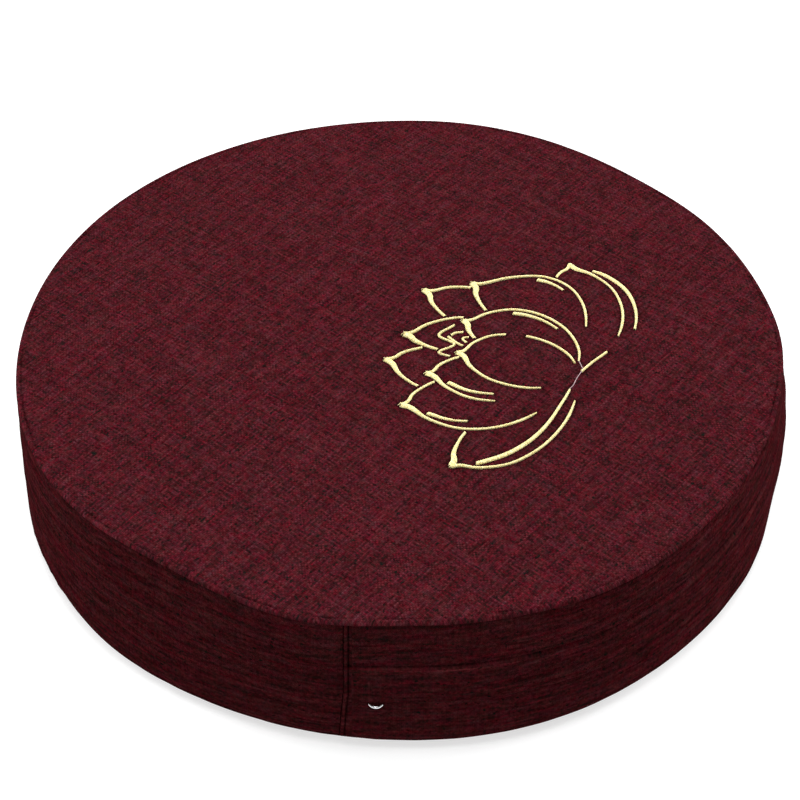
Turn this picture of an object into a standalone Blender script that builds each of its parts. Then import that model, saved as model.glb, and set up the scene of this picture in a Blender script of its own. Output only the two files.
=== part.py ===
# A round, flat meditation cushion: one filled pad in a boxed cover of melange
# cloth, with a zip in its band and a line-drawn lotus embroidered on its top.
#
# Metres. X runs to the right, Y to the back and Z up. The cushion stands on
# Z = 0, with the middle of its outline at the origin. Angles in the plan are in
# degrees from +X, counter-clockwise, so the front of the cushion is at 270.

import math

import bmesh
import bpy
import numpy as np
from mathutils import Vector
from mathutils.geometry import delaunay_2d_cdt

# ---- the cushion ----
SEAM_RADIUS = 0.2250  # circle of the top seam
SEAM_HEIGHT = 0.0872  # the top seam above the floor
SHOULDER = 0.0022  # rounding of the top's edge, above the seam
CROWN = 0.0045  # rise of the top from its edge to its middle
PANEL = 0.0016  # thickness of the top and base panels
GAP = 0.0003  # between pieces that touch
AROUND = 90  # steps round the cushion

# ---- the band ----
LEAN = 0.0090  # the base stands this far outside the top seam
BULGE = 0.0006  # the filling pushes the middle of the band out
DRAWN_TOP = 0.0010  # the band is drawn in under the top seam
DRAWN_BASE = 0.0030  # and above the base seam
DRAWN_FADE = 0.0040  # over this height
BASE_SEAM_HEIGHT = 0.0050
BASE_FLAT_RADIUS = 0.2190  # flat part of the base, on the floor
BAND_ROWS = 8

# Soft bumps and flats of the outline: angle, outward, spread (degrees, metres, degrees).
TOP_BUMPS = (
    (0, 0.0018, 7),
    (46, -0.0034, 10),
    (78, 0.0014, 9),
    (145, 0.0010, 16),
    (202, 0.0018, 14),
    (235, -0.0050, 9),
    (257, 0.0014, 5),
    (270, -0.0014, 5),
    (299, 0.0028, 9),
    (330, -0.0007, 8),
)
BASE_BUMPS = (
    (6, 0.0042, 13),
    (60, -0.0010, 16),
    (105, 0.0012, 18),
    (178, -0.0068, 14),
    (226, 0.0014, 8),
    (287, 0.0026, 15),
    (345, -0.0034, 7),
)
BUMP_FADE = 6  # power by which the bumps die away towards the middle

# ---- the zip part of the band ----
JOIN_ANGLE = 262.3  # upright join seam, a little left of the front
ZIP_SPAN = 148.0  # to the other join seam, on the right of the back
JOIN_STRAY = 0.8  # degrees by which the join seam strays to the left at its foot
JOIN_PLUMB = 0.0400  # above this height it runs straight up
JOIN_BEND = 0.8  # power by which the stray grows towards the foot
JOIN_GROOVE = 0.0005
WELT_WIDTH = 0.0020  # the turned edge beside the join seam stands up
WELT_RISE = 0.0006
POCKET = 0.0021  # how deep the strips lie in the filled wall
BEYOND = 0.0200  # the pocket's cutter reaches this far past the wall
STITCH_HEIGHT = SEAM_HEIGHT - 0.0275  # topstitching of the flap
FLAP_EDGE = SEAM_HEIGHT - 0.0518  # its free edge
FLAP_LAP = 0.0009  # the flap stands this far over the lower strip
UNDER_FLAP = -0.0005  # cloth that lies deeper than this is under the flap
STRIP_BACK = -0.0018  # inner face of a strip, off the wall
FLAP_BACK = -0.0003  # inner face of the flap, over the lower strip

# Height on the band, outer face and inner face, both measured out from the wall.
UPPER_STRIP = (
    (SEAM_HEIGHT - GAP, 0.0, STRIP_BACK),
    (STITCH_HEIGHT + 0.0015, 0.0001, STRIP_BACK),
    (STITCH_HEIGHT, -0.0004, STRIP_BACK),
    (STITCH_HEIGHT - 0.0015, 0.0006, STRIP_BACK),
    (FLAP_EDGE + 0.0110, FLAP_LAP, STRIP_BACK),
    (FLAP_EDGE + 0.0085, FLAP_LAP, FLAP_BACK),
    (FLAP_EDGE + 0.0008, FLAP_LAP, FLAP_BACK),
    (FLAP_EDGE, FLAP_LAP - 0.0003, FLAP_BACK + 0.0001),
)
LOWER_STRIP = (
    (FLAP_EDGE + 0.0075, -0.0007, STRIP_BACK),
    (FLAP_EDGE + 0.0005, -0.0006, STRIP_BACK),
    (FLAP_EDGE - 0.0035, 0.0, STRIP_BACK),
    (BASE_SEAM_HEIGHT + GAP, 0.0, STRIP_BACK),
)

# ---- the end of the zip's pull ----
PULL_ANGLE = 266.6
PULL_WIDTH = 0.0073
PULL_DROP = 0.0022  # from its tips down to its lowest point
PULL_THICKNESS = 0.0014

# ---- the embroidered lotus ----
FLOWER_BASE = Vector((0.1035, -0.0320))  # where its petals spring from
FLOWER_TURN = 90.0  # its tips point to -X
THREAD_RISE = 0.0008
THIN_LINE = 0.0017
BOLD_LINE = 0.0042  # near the tip of a petal, on its bold side
BOLD_REACH = 0.0130
SOFT_LINE = 0.0023  # near the tip, on the other side
LINE_END = 0.55  # a line narrows to this share of its width where it starts
LINE_END_REACH = 0.0060
FOLD_LINE = 0.0030  # the line inside a petal, at its widest
CLEARANCE = 0.0028  # a hidden line stops this far from the petal in front
FOLD_CLEARANCE = 0.0034  # an inner line keeps this far from its petal's edge
SHORTEST_LINE = 0.0070
SHORTEST_STEP = 0.0004
SMALLEST_STITCH = 1e-8  # square metres, smaller triangles are left out of a line
SIDE_STEPS = 3  # steps between two rows of the petal's form
FOLD_SHARE = 0.4  # the inner line takes at most this share of a narrow half
BROKEN = (1, 0.40, 0.50)  # petal, and shares of its right side, with no stitches

# Side of a petal: share of its half width, share of its length.
PETAL_FORM = (
    (0.00, 0.00),
    (0.48, 0.10),
    (0.86, 0.29),
    (1.00, 0.53),
    (0.86, 0.76),
    (0.48, 0.91),
    (0.13, 0.97),
    (0.00, 1.02),
)

# Petals from the front to the back of the flower. Turn is clockwise from the
# flower's axis and bend is sideways, both in degrees; length and the two half
# widths are in millimetres; a side's bow is under 1 where it bellies nearer the
# tip and over 1 nearer the foot; left and right start say where a side starts,
# as a share of its length; bold says which side swells, fold which side has a
# second line, inset how far inside the petal's edge it runs, in millimetres,
# and the last two between which shares of the side.
PETALS = (
    # turn, length, left, right, left bow, right bow, bend, left start, right start, bold,
    # fold, inset, from, to
    (11, 69, 23, 22, 1.30, 1.00, 0, 0.32, 0.07, -1, 0, 0, 0.36, 0.78),
    (35, 76, 15, 29, 1.00, 1.00, -2, 0.30, 0.06, -1, 1, 4, 0.34, 0.76),
    (-7, 86, 25, 17, 1.00, 1.00, 4, 0.46, 0.30, -1, -1, 6, 0.46, 0.84),
    (-23, 105, 31, 18, 0.80, 1.00, 6, 0.28, 0.30, -1, -1, 7, 0.48, 0.88),
    (57, 95, 13, 43, 1.00, 0.68, -4, 0.34, 0.20, -1, 1, 5, 0.42, 0.68),
    (-51, 109, 25, 16, 0.80, 1.00, 4, 0.20, 0.30, 1, -1, 8, 0.10, 0.90),
    (95, 94, 16, 28, 1.00, 0.90, -4, 0.50, 0.30, 1, 1, -8, 0.30, 0.88),
    (22, 103, 11, 25, 0.80, 0.90, -5, 0.30, 0.30, -1, 1, 4, 0.60, 0.86),
    (1, 110, 26, 17, 0.70, 1.00, 3, 0.30, 0.30, -1, -1, 5, 0.60, 0.88),
    (42, 111, 16, 24, 1.00, 0.80, -3, 0.30, 0.30, -1, 0, 0, 0.36, 0.78),
)
WAVE_GROWTH = 1.3  # power by which a wave's turns grow longer towards its end
STAMENS_BEHIND = 7  # the stamens stand behind this many petals
STAMENS = (
    # from and to in the flower's frame, swing of the wave, turns
    ((9, 76), (38, 75.5), 4.6, 2),
    ((17, 63), (27, 75), 0.6, 1),
    ((28, 63), (21, 65), -2.5, 1),
    ((29.5, 73), (32, 66), 0.5, 1),
)
STAMEN_PATCH = ((25, 73), (13, 7))  # middle and half sizes, hides the petals behind
STALK = ((-3, -2), (5, -9), (14, -18))  # short stroke at the foot of the flower

COLOURS = {
    "top cloth": (0.075, 0.011, 0.016, 1.0),
    "band cloth": (0.040, 0.006, 0.008, 1.0),
    "gold thread": (0.79, 0.70, 0.37, 1.0),
    "pull metal": (0.80, 0.80, 0.80, 1.0),
}


def material(name, metallic=0.0, roughness=0.85):
    made = bpy.data.materials.get(name) or bpy.data.materials.new(name)
    made.use_nodes = True
    shader = made.node_tree.nodes["Principled BSDF"]
    shader.inputs["Base Color"].default_value = COLOURS[name]
    shader.inputs["Metallic"].default_value = metallic
    shader.inputs["Roughness"].default_value = roughness
    return made


def keep(name, mesh, finish, folder):
    """One sub-part as one object, shaded smooth but for its sharp edges."""
    mesh.shade_smooth()
    mesh.set_sharp_from_angle(angle=math.radians(35))
    mesh.materials.clear()
    mesh.materials.append(finish)
    piece = bpy.data.objects.new(name, mesh)
    folder.objects.link(piece)
    return piece


# ---- the cushion's form ----


def bumps(table, angle):
    total = 0.0
    for middle, outward, spread in table:
        away = (angle - middle + 180) % 360 - 180
        total += outward * math.exp(-0.5 * (away / spread) ** 2)
    return total


def unevenness(angle, height):
    share = min(max(height / SEAM_HEIGHT, 0.0), 1.0)
    return bumps(TOP_BUMPS, angle) * share + bumps(BASE_BUMPS, angle) * (1 - share)


def wall_radius(height):
    """Outer face of the band at a height, before the outline's bumps."""
    low, high = BASE_SEAM_HEIGHT, SEAM_HEIGHT
    height = min(max(height, low), high)
    share = (height - low) / (high - low)
    drawn = DRAWN_TOP * math.exp((height - high) / DRAWN_FADE)
    drawn += DRAWN_BASE * math.exp((low - height) / DRAWN_FADE)
    return SEAM_RADIUS + LEAN * (1 - share) + BULGE * math.sin(math.pi * share) - drawn


def crown_height(radius):
    """Outer face of the top, from its middle to the start of the shoulder."""
    share = min(radius / (SEAM_RADIUS - SHOULDER), 1.0)
    return SEAM_HEIGHT + SHOULDER + CROWN * (1 - share**2.6)


def outline_middle():
    """Middle of the uneven outline, flap included, which the whole cushion is moved by."""
    points = []
    for angle in range(360):
        on_zip = (angle - JOIN_ANGLE) % 360 < ZIP_SPAN
        for height in band_heights():
            lap = FLAP_LAP if on_zip and height < STITCH_HEIGHT else 0.0
            radius = wall_radius(height) + unevenness(angle, height) + lap
            points.append((radius * math.cos(math.radians(angle)), radius * math.sin(math.radians(angle))))
    points = np.array(points)
    return (points.max(axis=0) + points.min(axis=0)) / 2


def band_heights():
    """Rows of the band from the top seam down, closer together at both seams."""
    for row in range(BAND_ROWS + 1):
        share = (1 + math.cos(math.pi * row / BAND_ROWS)) / 2
        yield BASE_SEAM_HEIGHT + (SEAM_HEIGHT - BASE_SEAM_HEIGHT) * share


MIDDLE = outline_middle()


def place(angle, radius, height):
    """A point of the round form, moved out or in by the outline's bumps."""
    outward = unevenness(angle, height) * (radius / SEAM_RADIUS) ** BUMP_FADE
    turn = math.radians(angle)
    across = (radius + outward) * math.cos(turn) - MIDDLE[0]
    along = (radius + outward) * math.sin(turn) - MIDDLE[1]
    return Vector((across, along, height))


def turned(profile):
    """A profile of (radius, height) points turned about Z, as a mesh of its own."""
    line = bpy.data.meshes.new("profile")
    edges = [(i, i + 1) for i in range(len(profile) - 1)]
    line.from_pydata([(radius, 0, height) for radius, height in profile], edges, [])
    guide = bpy.data.objects.new("profile", line)
    bpy.context.scene.collection.objects.link(guide)
    screw = guide.modifiers.new("turn", "SCREW")
    screw.steps = screw.render_steps = AROUND
    screw.use_merge_vertices = True
    screw.merge_threshold = 0.00001
    mesh = bpy.data.meshes.new_from_object(guide.evaluated_get(bpy.context.evaluated_depsgraph_get()))
    bpy.data.objects.remove(guide)
    return mesh


def made_uneven(mesh):
    for point in mesh.vertices:
        radius = math.hypot(point.co.x, point.co.y)
        angle = math.degrees(math.atan2(point.co.y, point.co.x)) % 360
        point.co = place(angle, radius, point.co.z)
    work = bmesh.new()
    work.from_mesh(mesh)
    return facing_out(work, mesh)


def facing_out(work, mesh):
    """Writes a closed form to a mesh with all its faces pointing out."""
    bmesh.ops.recalc_face_normals(work, faces=work.faces)
    if work.calc_volume(signed=True) < 0:
        bmesh.ops.reverse_faces(work, faces=work.faces)
    work.to_mesh(mesh)
    work.free()
    return mesh


def top_profile(inset):
    """The top from its middle over the shoulder to the seam, inset by a depth."""
    flat = SEAM_RADIUS - SHOULDER
    points = []
    for share in (0, 0.32, 0.58, 0.80, 0.93):
        points.append((flat * share, crown_height(flat * share) - inset))
    for step in range(4):
        turn = math.radians(90 - 30 * step)
        bend = SHOULDER - inset
        points.append((flat + bend * math.cos(turn), SEAM_HEIGHT + bend * math.sin(turn)))
    return points


def base_profile(inset):
    """The base from its middle to its seam: flat, then turned up."""
    seam = wall_radius(BASE_SEAM_HEIGHT)
    reach = seam - BASE_FLAT_RADIUS
    points = [(0.0, inset), (BASE_FLAT_RADIUS * 0.5, inset)]
    for step in range(4):
        turn = math.radians(30 * step)
        across = BASE_FLAT_RADIUS + (reach - inset) * math.sin(turn)
        points.append((across, inset + (BASE_SEAM_HEIGHT - inset) * (1 - math.cos(turn))))
    return points


def build_filled(folder):
    """The pad and the plain part of its band, pocketed where the zip strips lie."""
    top = top_profile(PANEL + GAP)
    base = base_profile(PANEL + GAP)
    high, low = SEAM_HEIGHT - GAP, BASE_SEAM_HEIGHT + GAP
    band = [(wall_radius(height), min(max(height, low), high)) for height in band_heights()]
    band = [(top[-1][0], high)] + band + [(base[-1][0], low)]
    mesh = made_uneven(turned(top + band + base[::-1]))
    return keep("filled_cushion", mesh, material("band cloth"), folder)


def stray(height):
    """How far, in degrees, the zip part's upright edges stray at a height."""
    return -JOIN_STRAY * max(0.0, 1 - height / JOIN_PLUMB) ** JOIN_BEND


def wrapped(columns, rows, face_of):
    """A closed sheet wrapped on the wall: columns are angles, rows are heights, and
    face_of(angle, row) gives how far its outer and inner faces lie off the wall."""
    work = bmesh.new()
    across, up = len(columns) - 1, len(rows) - 1
    bmesh.ops.create_grid(work, x_segments=across, y_segments=up, size=0.5)
    outer = list(work.verts)
    made = bmesh.ops.extrude_face_region(work, geom=work.faces[:])
    inner = [item for item in made["geom"] if isinstance(item, bmesh.types.BMVert)]
    for skin, points in ((0, outer), (1, inner)):
        for point in points:
            angle = columns[round((point.co.x + 0.5) * across)]
            row = rows[round((point.co.y + 0.5) * up)]
            off_wall = face_of(angle, row)[skin]
            point.co = place(angle + stray(row[0]), wall_radius(row[0]) + off_wall, row[0])
    return facing_out(work, bpy.data.meshes.new("wrapped"))


def strip_rows(table):
    """A strip's rows from the top down: those of its table and those of the wall."""
    heights = [row[0] for row in table]
    between = [height for height in band_heights() if heights[-1] < height < heights[0]]
    rows = sorted(set(heights + between))
    faces = [np.interp(rows, heights[::-1], [row[skin] for row in table][::-1]) for skin in (1, 2)]
    return list(zip(rows, *faces))[::-1]


def pocket_columns():
    return list(np.linspace(JOIN_ANGLE, JOIN_ANGLE + ZIP_SPAN, round(ZIP_SPAN * AROUND / 360) + 1))


def strip_columns():
    """Angles along the zip strips: those of the welt, then those of the pocket."""
    groove, welt = (math.degrees(size / SEAM_RADIUS) for size in (JOIN_GROOVE, WELT_WIDTH))
    start = JOIN_ANGLE + groove
    on_welt = [start, start + welt * 0.3, start + welt * 0.7, start + welt]
    return on_welt + pocket_columns()[1:-1] + [JOIN_ANGLE + ZIP_SPAN - groove]


def build_zip_strips(folder):
    start = strip_columns()[0]
    welt = math.degrees(WELT_WIDTH / SEAM_RADIUS)

    def faces(angle, row):
        into = (angle - start) / welt
        on_welt = 0 < into < 1 and row[1] > UNDER_FLAP
        rise = WELT_RISE * math.sin(math.pi * into) if on_welt else 0.0
        return row[1] + rise, row[2]

    for name, table in (("zip_strip_upper", UPPER_STRIP), ("zip_strip_lower", LOWER_STRIP)):
        keep(name, wrapped(strip_columns(), strip_rows(table), faces), material("band cloth"), folder)


def cut_pocket(filled, cutters):
    """Sinks the zip part of the wall by the depth of the strips, right through it."""
    heights = [SEAM_HEIGHT + BEYOND, *band_heights(), -BEYOND]
    rows = [(height, BEYOND, -POCKET) for height in heights]
    mesh = wrapped(pocket_columns(), rows, lambda angle, row: row[1:])
    cutter = bpy.data.objects.new("zip_pocket", mesh)
    cutter.hide_render = True
    cutter.display_type = "WIRE"
    cutters.objects.link(cutter)
    cut = filled.modifiers.new("zip pocket", "BOOLEAN")
    cut.operation = "DIFFERENCE"
    cut.object = cutter


def build_panels(folder):
    top = turned(top_profile(0.0) + top_profile(PANEL)[::-1])
    keep("top_panel", made_uneven(top), material("top cloth"), folder)
    base = turned(base_profile(PANEL) + base_profile(0.0)[::-1])
    keep("base_panel", made_uneven(base), material("band cloth"), folder)


def build_pull(folder):
    """A crescent, thick in the middle, that hangs just under the flap's edge."""
    half = PULL_WIDTH / 2
    bend = (half**2 + PULL_DROP**2) / (2 * PULL_DROP)
    sweep = math.asin(half / bend)
    lowest = FLAP_EDGE - GAP - PULL_THICKNESS / 2 - PULL_DROP
    line = bpy.data.curves.new("zip_pull", "CURVE")
    line.dimensions = "3D"
    line.bevel_depth = PULL_THICKNESS / 2
    line.bevel_resolution = 2
    line.use_fill_caps = True
    spline = line.splines.new("POLY")
    steps = 12
    spline.points.add(steps)
    for step, point in enumerate(spline.points):
        turn = sweep * (2 * step / steps - 1)
        height = lowest + bend * (1 - math.cos(turn))
        angle = PULL_ANGLE + math.degrees(bend * math.sin(turn) / SEAM_RADIUS)
        spot = place(angle, wall_radius(height) + GAP + PULL_THICKNESS / 2, height)
        point.co = (*spot, 1.0)
        point.radius = 0.45 + 0.55 * math.cos(0.5 * math.pi * turn / sweep)
    pull = bpy.data.objects.new("zip_pull", line)
    line.materials.append(material("pull metal", metallic=0.9, roughness=0.35))
    folder.objects.link(pull)


# ---- the lotus, drawn flat in the flower's own frame: right is x, up is y ----


def smooth(corners, steps):
    """A smooth line through its corners, with some steps between each two."""
    corners = np.array(corners, dtype=float)
    ends = np.vstack((2 * corners[0] - corners[1], corners, 2 * corners[-1] - corners[-2]))
    line = []
    for before, start, stop, after in zip(ends, ends[1:], ends[2:], ends[3:]):
        for share in np.arange(steps) / steps:
            pull = (stop - before) * share + (2 * before - 5 * start + 4 * stop - after) * share**2
            pull += (3 * start - before - 3 * stop + after) * share**3
            line.append(start + pull / 2)
    return np.array(line + [corners[-1]])


def petal_side(petal, side, inset=0):
    """Points along one side of a petal, from its foot to its tip."""
    turn, length, left, right, left_bow, right_bow, bend = petal[:7]
    length = length / 1000
    belly = (right if side > 0 else left) / 1000
    line = smooth(PETAL_FORM, SIDE_STEPS)
    line[:, 1] **= right_bow if side > 0 else left_bow
    across = belly * line[:, 0]
    across -= np.minimum(inset / 1000, across * FOLD_SHARE)
    points = np.stack((side * across, length * line[:, 1]), axis=1)
    points[:, 0] += length * math.radians(bend) * line[:, 1] ** 2
    angle = math.radians(-turn)
    spin = np.array(((math.cos(angle), -math.sin(angle)), (math.sin(angle), math.cos(angle))))
    return points @ spin.T


def line_break(petal):
    """The stretch of a petal's right side that isn't stitched."""
    line = petal_side(petal, 1)
    return line[round(len(line) * BROKEN[1]):round(len(line) * BROKEN[2])]


def petal_outline(petal):
    return np.vstack((petal_side(petal, -1), petal_side(petal, 1)[::-1]))


def inside(point, outline):
    """Whether a point lies in a closed outline, by counting crossings."""
    x, y = point
    crossings = 0
    for (ax, ay), (bx, by) in zip(outline, np.roll(outline, -1, axis=0)):
        if (ay > y) != (by > y) and x < ax + (y - ay) * (bx - ax) / (by - ay):
            crossings += 1
    return crossings % 2 == 1


def distance(point, outline):
    """From a point to the nearest place on a closed outline."""
    ends = np.roll(outline, -1, axis=0)
    along = ends - outline
    square = np.maximum((along**2).sum(axis=1), 1e-12)
    share = np.clip(((point - outline) * along).sum(axis=1) / square, 0, 1)
    return float(np.sqrt(((outline + along * share[:, None] - point) ** 2).sum(axis=1)).min())


def is_hidden(point, in_front, beside):
    covered = any(inside(point, each) or distance(point, each) < CLEARANCE for each in in_front)
    return covered or any(distance(point, each) < FOLD_CLEARANCE for each in beside)


def last_seen(shown, hidden, in_front, beside):
    """The spot where a line stops, between a shown and a hidden one."""
    for _ in range(5):
        middle = (shown + hidden) / 2
        if is_hidden(middle[:2], in_front, beside):
            hidden = middle
        else:
            shown = middle
    return shown


def visible_runs(points, widths, in_front, beside=()):
    """The stretches of a line that no petal in front covers or touches, and that
    keep clear of the outlines beside it. A spot is a point with its width."""
    spots = np.column_stack((points, widths))
    seen = [not is_hidden(spot[:2], in_front, beside) for spot in spots]
    runs = [[]]
    for number, spot in enumerate(spots):
        if number and seen[number] != seen[number - 1]:
            shown, hidden = (spot, spots[number - 1]) if seen[number] else (spots[number - 1], spot)
            end = last_seen(shown, hidden, in_front, beside)
            if np.hypot(*(end - shown)[:2]) > SHORTEST_STEP:
                runs[-1].append(end)
        if seen[number]:
            runs[-1].append(spot)
        else:
            runs.append([])
    for run in runs:
        line = np.array(run)
        if len(run) > 2 and np.hypot(*np.diff(line[:, :2], axis=0).T).sum() > SHORTEST_LINE:
            yield line[:, :2], line[:, 2]


def petal_line(petal):
    """One line from the left foot over the tip to the right foot, with its widths."""
    left_start, right_start, bold = petal[7:10]
    points, widths = [], []
    for side, start in ((-1, left_start), (1, right_start)):
        line = petal_side(petal, side)
        line = line[round(start * (len(line) - 1)):]
        to_tip = np.append(np.cumsum(np.hypot(*np.diff(line[::-1], axis=0).T))[::-1], 0.0)
        swell = BOLD_LINE if side == bold else SOFT_LINE
        width = THIN_LINE + (swell - THIN_LINE) * np.exp(-((to_tip / BOLD_REACH) ** 2))
        width *= 1 - (1 - LINE_END) * np.exp(-(((to_tip[0] - to_tip) / LINE_END_REACH) ** 2))
        if side > 0:
            line, width = line[::-1][1:], width[::-1][1:]
        points.append(line)
        widths.append(width)
    return np.vstack(points), np.concatenate(widths)


def fold_line(petal):
    """The line inside a petal, along the side that turns over."""
    side, inset, start, stop = petal[10:]
    line = petal_side(petal, side, inset)
    line = line[round(len(line) * start):round(len(line) * stop)]
    share = np.linspace(0, 1, len(line))
    return line, THIN_LINE * 0.8 + (FOLD_LINE - THIN_LINE * 0.8) * np.sin(np.pi * share**1.5)


def stamen_line(row):
    """A wave between two places, longer towards the second, with its width."""
    start, stop, swing, turns = row
    start, stop = np.array(start), np.array(stop)
    along = (stop - start) / np.hypot(*(stop - start))
    across = np.array((-along[1], along[0])) * swing
    share = np.linspace(0, 1, 2 * turns + 1)[:, None] ** WAVE_GROWTH
    sides = np.where(np.arange(2 * turns + 1) % 2, 1, -1)[:, None]
    line = smooth(start + (stop - start) * share + across * sides, SIDE_STEPS) / 1000
    return line, np.full(len(line), THIN_LINE * 0.9)


def stalk_line():
    line = smooth(STALK, SIDE_STEPS) / 1000
    return line, np.full(len(line), THIN_LINE)


def stamen_patch():
    (x, y), (wide, high) = STAMEN_PATCH
    turns = np.radians(np.arange(0, 360, 20))
    return np.stack((x + wide * np.cos(turns), y + high * np.sin(turns)), axis=1) / 1000


def ribbon(line, widths):
    """A flat line of stitches as triangles, all turned one way."""
    along = np.gradient(line, axis=0)
    along /= np.hypot(*along.T)[:, None]
    across = np.stack((-along[:, 1], along[:, 0]), axis=1) * widths[:, None] / 2
    points = np.vstack((line + across, line - across))
    count = len(line)
    triangles = []
    for i in range(count - 1):
        triangles += [(i, i + 1, count + i + 1), (i, count + i + 1, count + i)]
    turned_one_way = []
    for a, b, c in triangles:
        (ux, uy), (vx, vy) = points[b] - points[a], points[c] - points[a]
        area = (ux * vy - uy * vx) / 2
        if abs(area) > SMALLEST_STITCH:
            turned_one_way.append((a, b, c) if area > 0 else (a, c, b))
    return points, turned_one_way


def stitched(name, line, widths, folder):
    """Raises a ribbon on the crown of the top, once its overlaps are joined."""
    points, faces = ribbon(line, widths)
    flat = delaunay_2d_cdt([Vector(point) * 1000 for point in points], [], faces, 0, 0.001)
    corners, triangles = flat[0], [tri for tri, origin in zip(flat[2], flat[5]) if origin]
    work = bmesh.new()
    turn = math.radians(FLOWER_TURN)
    for corner in corners:
        spot = corner / 1000
        x = FLOWER_BASE.x + spot.x * math.cos(turn) - spot.y * math.sin(turn)
        y = FLOWER_BASE.y + spot.x * math.sin(turn) + spot.y * math.cos(turn)
        foot = crown_height(math.hypot(x, y)) + GAP
        work.verts.new((x - MIDDLE[0], y - MIDDLE[1], foot))
    work.verts.ensure_lookup_table()
    for tri in triangles:
        work.faces.new([work.verts[i] for i in tri])
    bmesh.ops.delete(work, geom=[v for v in work.verts if not v.link_faces], context="VERTS")
    bmesh.ops.remove_doubles(work, verts=work.verts, dist=0.00005)
    made = bmesh.ops.extrude_face_region(work, geom=work.faces[:])
    tops = [item for item in made["geom"] if isinstance(item, bmesh.types.BMVert)]
    bmesh.ops.translate(work, verts=tops, vec=(0, 0, THREAD_RISE))
    mesh = facing_out(work, bpy.data.meshes.new(name))
    keep(name, mesh, material("gold thread", roughness=0.45), folder)


def lotus_lines():
    """Every visible line of the flower, front to back: its name, points and widths."""
    yield "lotus_stalk", *stalk_line()
    in_front = []
    for number, petal in enumerate(PETALS, start=1):
        outline = petal_outline(petal)
        broken = (line_break(petal),) if number == BROKEN[0] else ()
        lines = [("petal", petal_line(petal), broken)]
        if petal[10]:
            lines.append(("fold", fold_line(petal), (outline,)))
        for kind, (points, widths), beside in lines:
            for letter, (line, width) in zip("abcd", visible_runs(points, widths, in_front, beside)):
                yield f"lotus_{kind}_{number:02d}{letter}", line, width
        in_front.append(outline)
        if number == STAMENS_BEHIND:
            for row, stamens in enumerate(STAMENS, start=1):
                for letter, (line, width) in zip("abcd", visible_runs(*stamen_line(stamens), in_front)):
                    yield f"lotus_stamens_{row}{letter}", line, width
            in_front.append(stamen_patch())


def build_lotus(folder):
    for name, line, widths in lotus_lines():
        stitched(name, line, widths, folder)


def main():
    for old in list(bpy.data.objects):
        bpy.data.objects.remove(old)
    cushion = bpy.data.collections.new("meditation_cushion")
    cutters = bpy.data.collections.new("cutters")
    for folder in (cushion, cutters):
        bpy.context.scene.collection.children.link(folder)
    filled = build_filled(cushion)
    cut_pocket(filled, cutters)
    build_panels(cushion)
    build_zip_strips(cushion)
    build_pull(cushion)
    build_lotus(cushion)


main()
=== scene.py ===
import math

import bmesh
import bpy
import numpy as np
from mathutils import Matrix, Vector
from mathutils.bvhtree import BVHTree
from mathutils.kdtree import KDTree


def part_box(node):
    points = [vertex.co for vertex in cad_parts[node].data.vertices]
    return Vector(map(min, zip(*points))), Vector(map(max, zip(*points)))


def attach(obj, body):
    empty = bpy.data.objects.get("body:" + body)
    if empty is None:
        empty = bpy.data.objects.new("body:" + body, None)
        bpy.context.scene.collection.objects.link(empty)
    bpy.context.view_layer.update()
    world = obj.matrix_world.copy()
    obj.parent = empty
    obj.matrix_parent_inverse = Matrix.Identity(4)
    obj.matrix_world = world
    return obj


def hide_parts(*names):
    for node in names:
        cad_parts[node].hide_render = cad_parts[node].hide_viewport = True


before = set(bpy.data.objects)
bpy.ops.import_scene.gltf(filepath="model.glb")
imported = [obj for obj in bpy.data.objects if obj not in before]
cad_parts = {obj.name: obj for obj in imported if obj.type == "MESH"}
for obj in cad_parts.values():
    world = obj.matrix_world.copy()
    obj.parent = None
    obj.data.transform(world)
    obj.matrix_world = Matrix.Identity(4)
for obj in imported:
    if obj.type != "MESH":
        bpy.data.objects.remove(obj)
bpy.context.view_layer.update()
print("frame loaded,", len(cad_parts), "solids")

# the cushion's form, as in the solids
form = {
    "seamRadius": 0.2250,
    "seamHeight": 0.0872,
    "shoulder": 0.0022,  # rounding of the top's edge
    "crown": 0.0045,
    "crownPower": 2.6,  # the crown is flat in the middle and falls towards the edge
    "lean": 0.0090,  # the base stands this far outside the top seam
    "bulge": 0.0006,
    "drawnTop": 0.0010,  # the band is drawn in under the top seam
    "drawnBase": 0.0030,
    "drawnFade": 0.0040,
    "baseSeam": 0.0050,
    "baseFlat": 0.2190,
    "bumpFade": 6,
    "gap": 0.0003,
    "outlineRows": 8,  # steps of height at which the outline is measured
    # angle, outward, spread of the outline's soft bumps at the top and at the base
    "topBumps": (
        (0, 0.0018, 7),
        (46, -0.0034, 10),
        (78, 0.0014, 9),
        (145, 0.0010, 16),
        (202, 0.0018, 14),
        (235, -0.0050, 9),
        (257, 0.0014, 5),
        (270, -0.0014, 5),
        (299, 0.0028, 9),
        (330, -0.0007, 8),
    ),
    "baseBumps": (
        (6, 0.0042, 13),
        (60, -0.0010, 16),
        (105, 0.0012, 18),
        (178, -0.0068, 14),
        (226, 0.0014, 8),
        (287, 0.0026, 15),
        (345, -0.0034, 7),
    ),
}

# the zip part of the band
zipPart = {
    "start": 262.3,  # upright join seam, left of the front
    "span": 148.0,
    "stray": 0.8,  # degrees that the join strays to the left at its foot
    "plumb": 0.0400,  # it runs straight up above this height
    "bend": 0.8,  # power by which the stray grows towards the foot
    "groove": 0.0005,
    "weltWidth": 0.0020,
    "weltRise": 0.0006,
    "pocket": 0.0021,
    "stitchDrop": 0.0275,  # from the top seam down to the topstitching
    "edgeDrop": 0.0518,  # and to the flap's free edge
    "lap": 0.0009,  # the flap stands this far over the strip below it
}
stitchHeight = form["seamHeight"] - zipPart["stitchDrop"]
flapEdge = form["seamHeight"] - zipPart["edgeDrop"]


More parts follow.
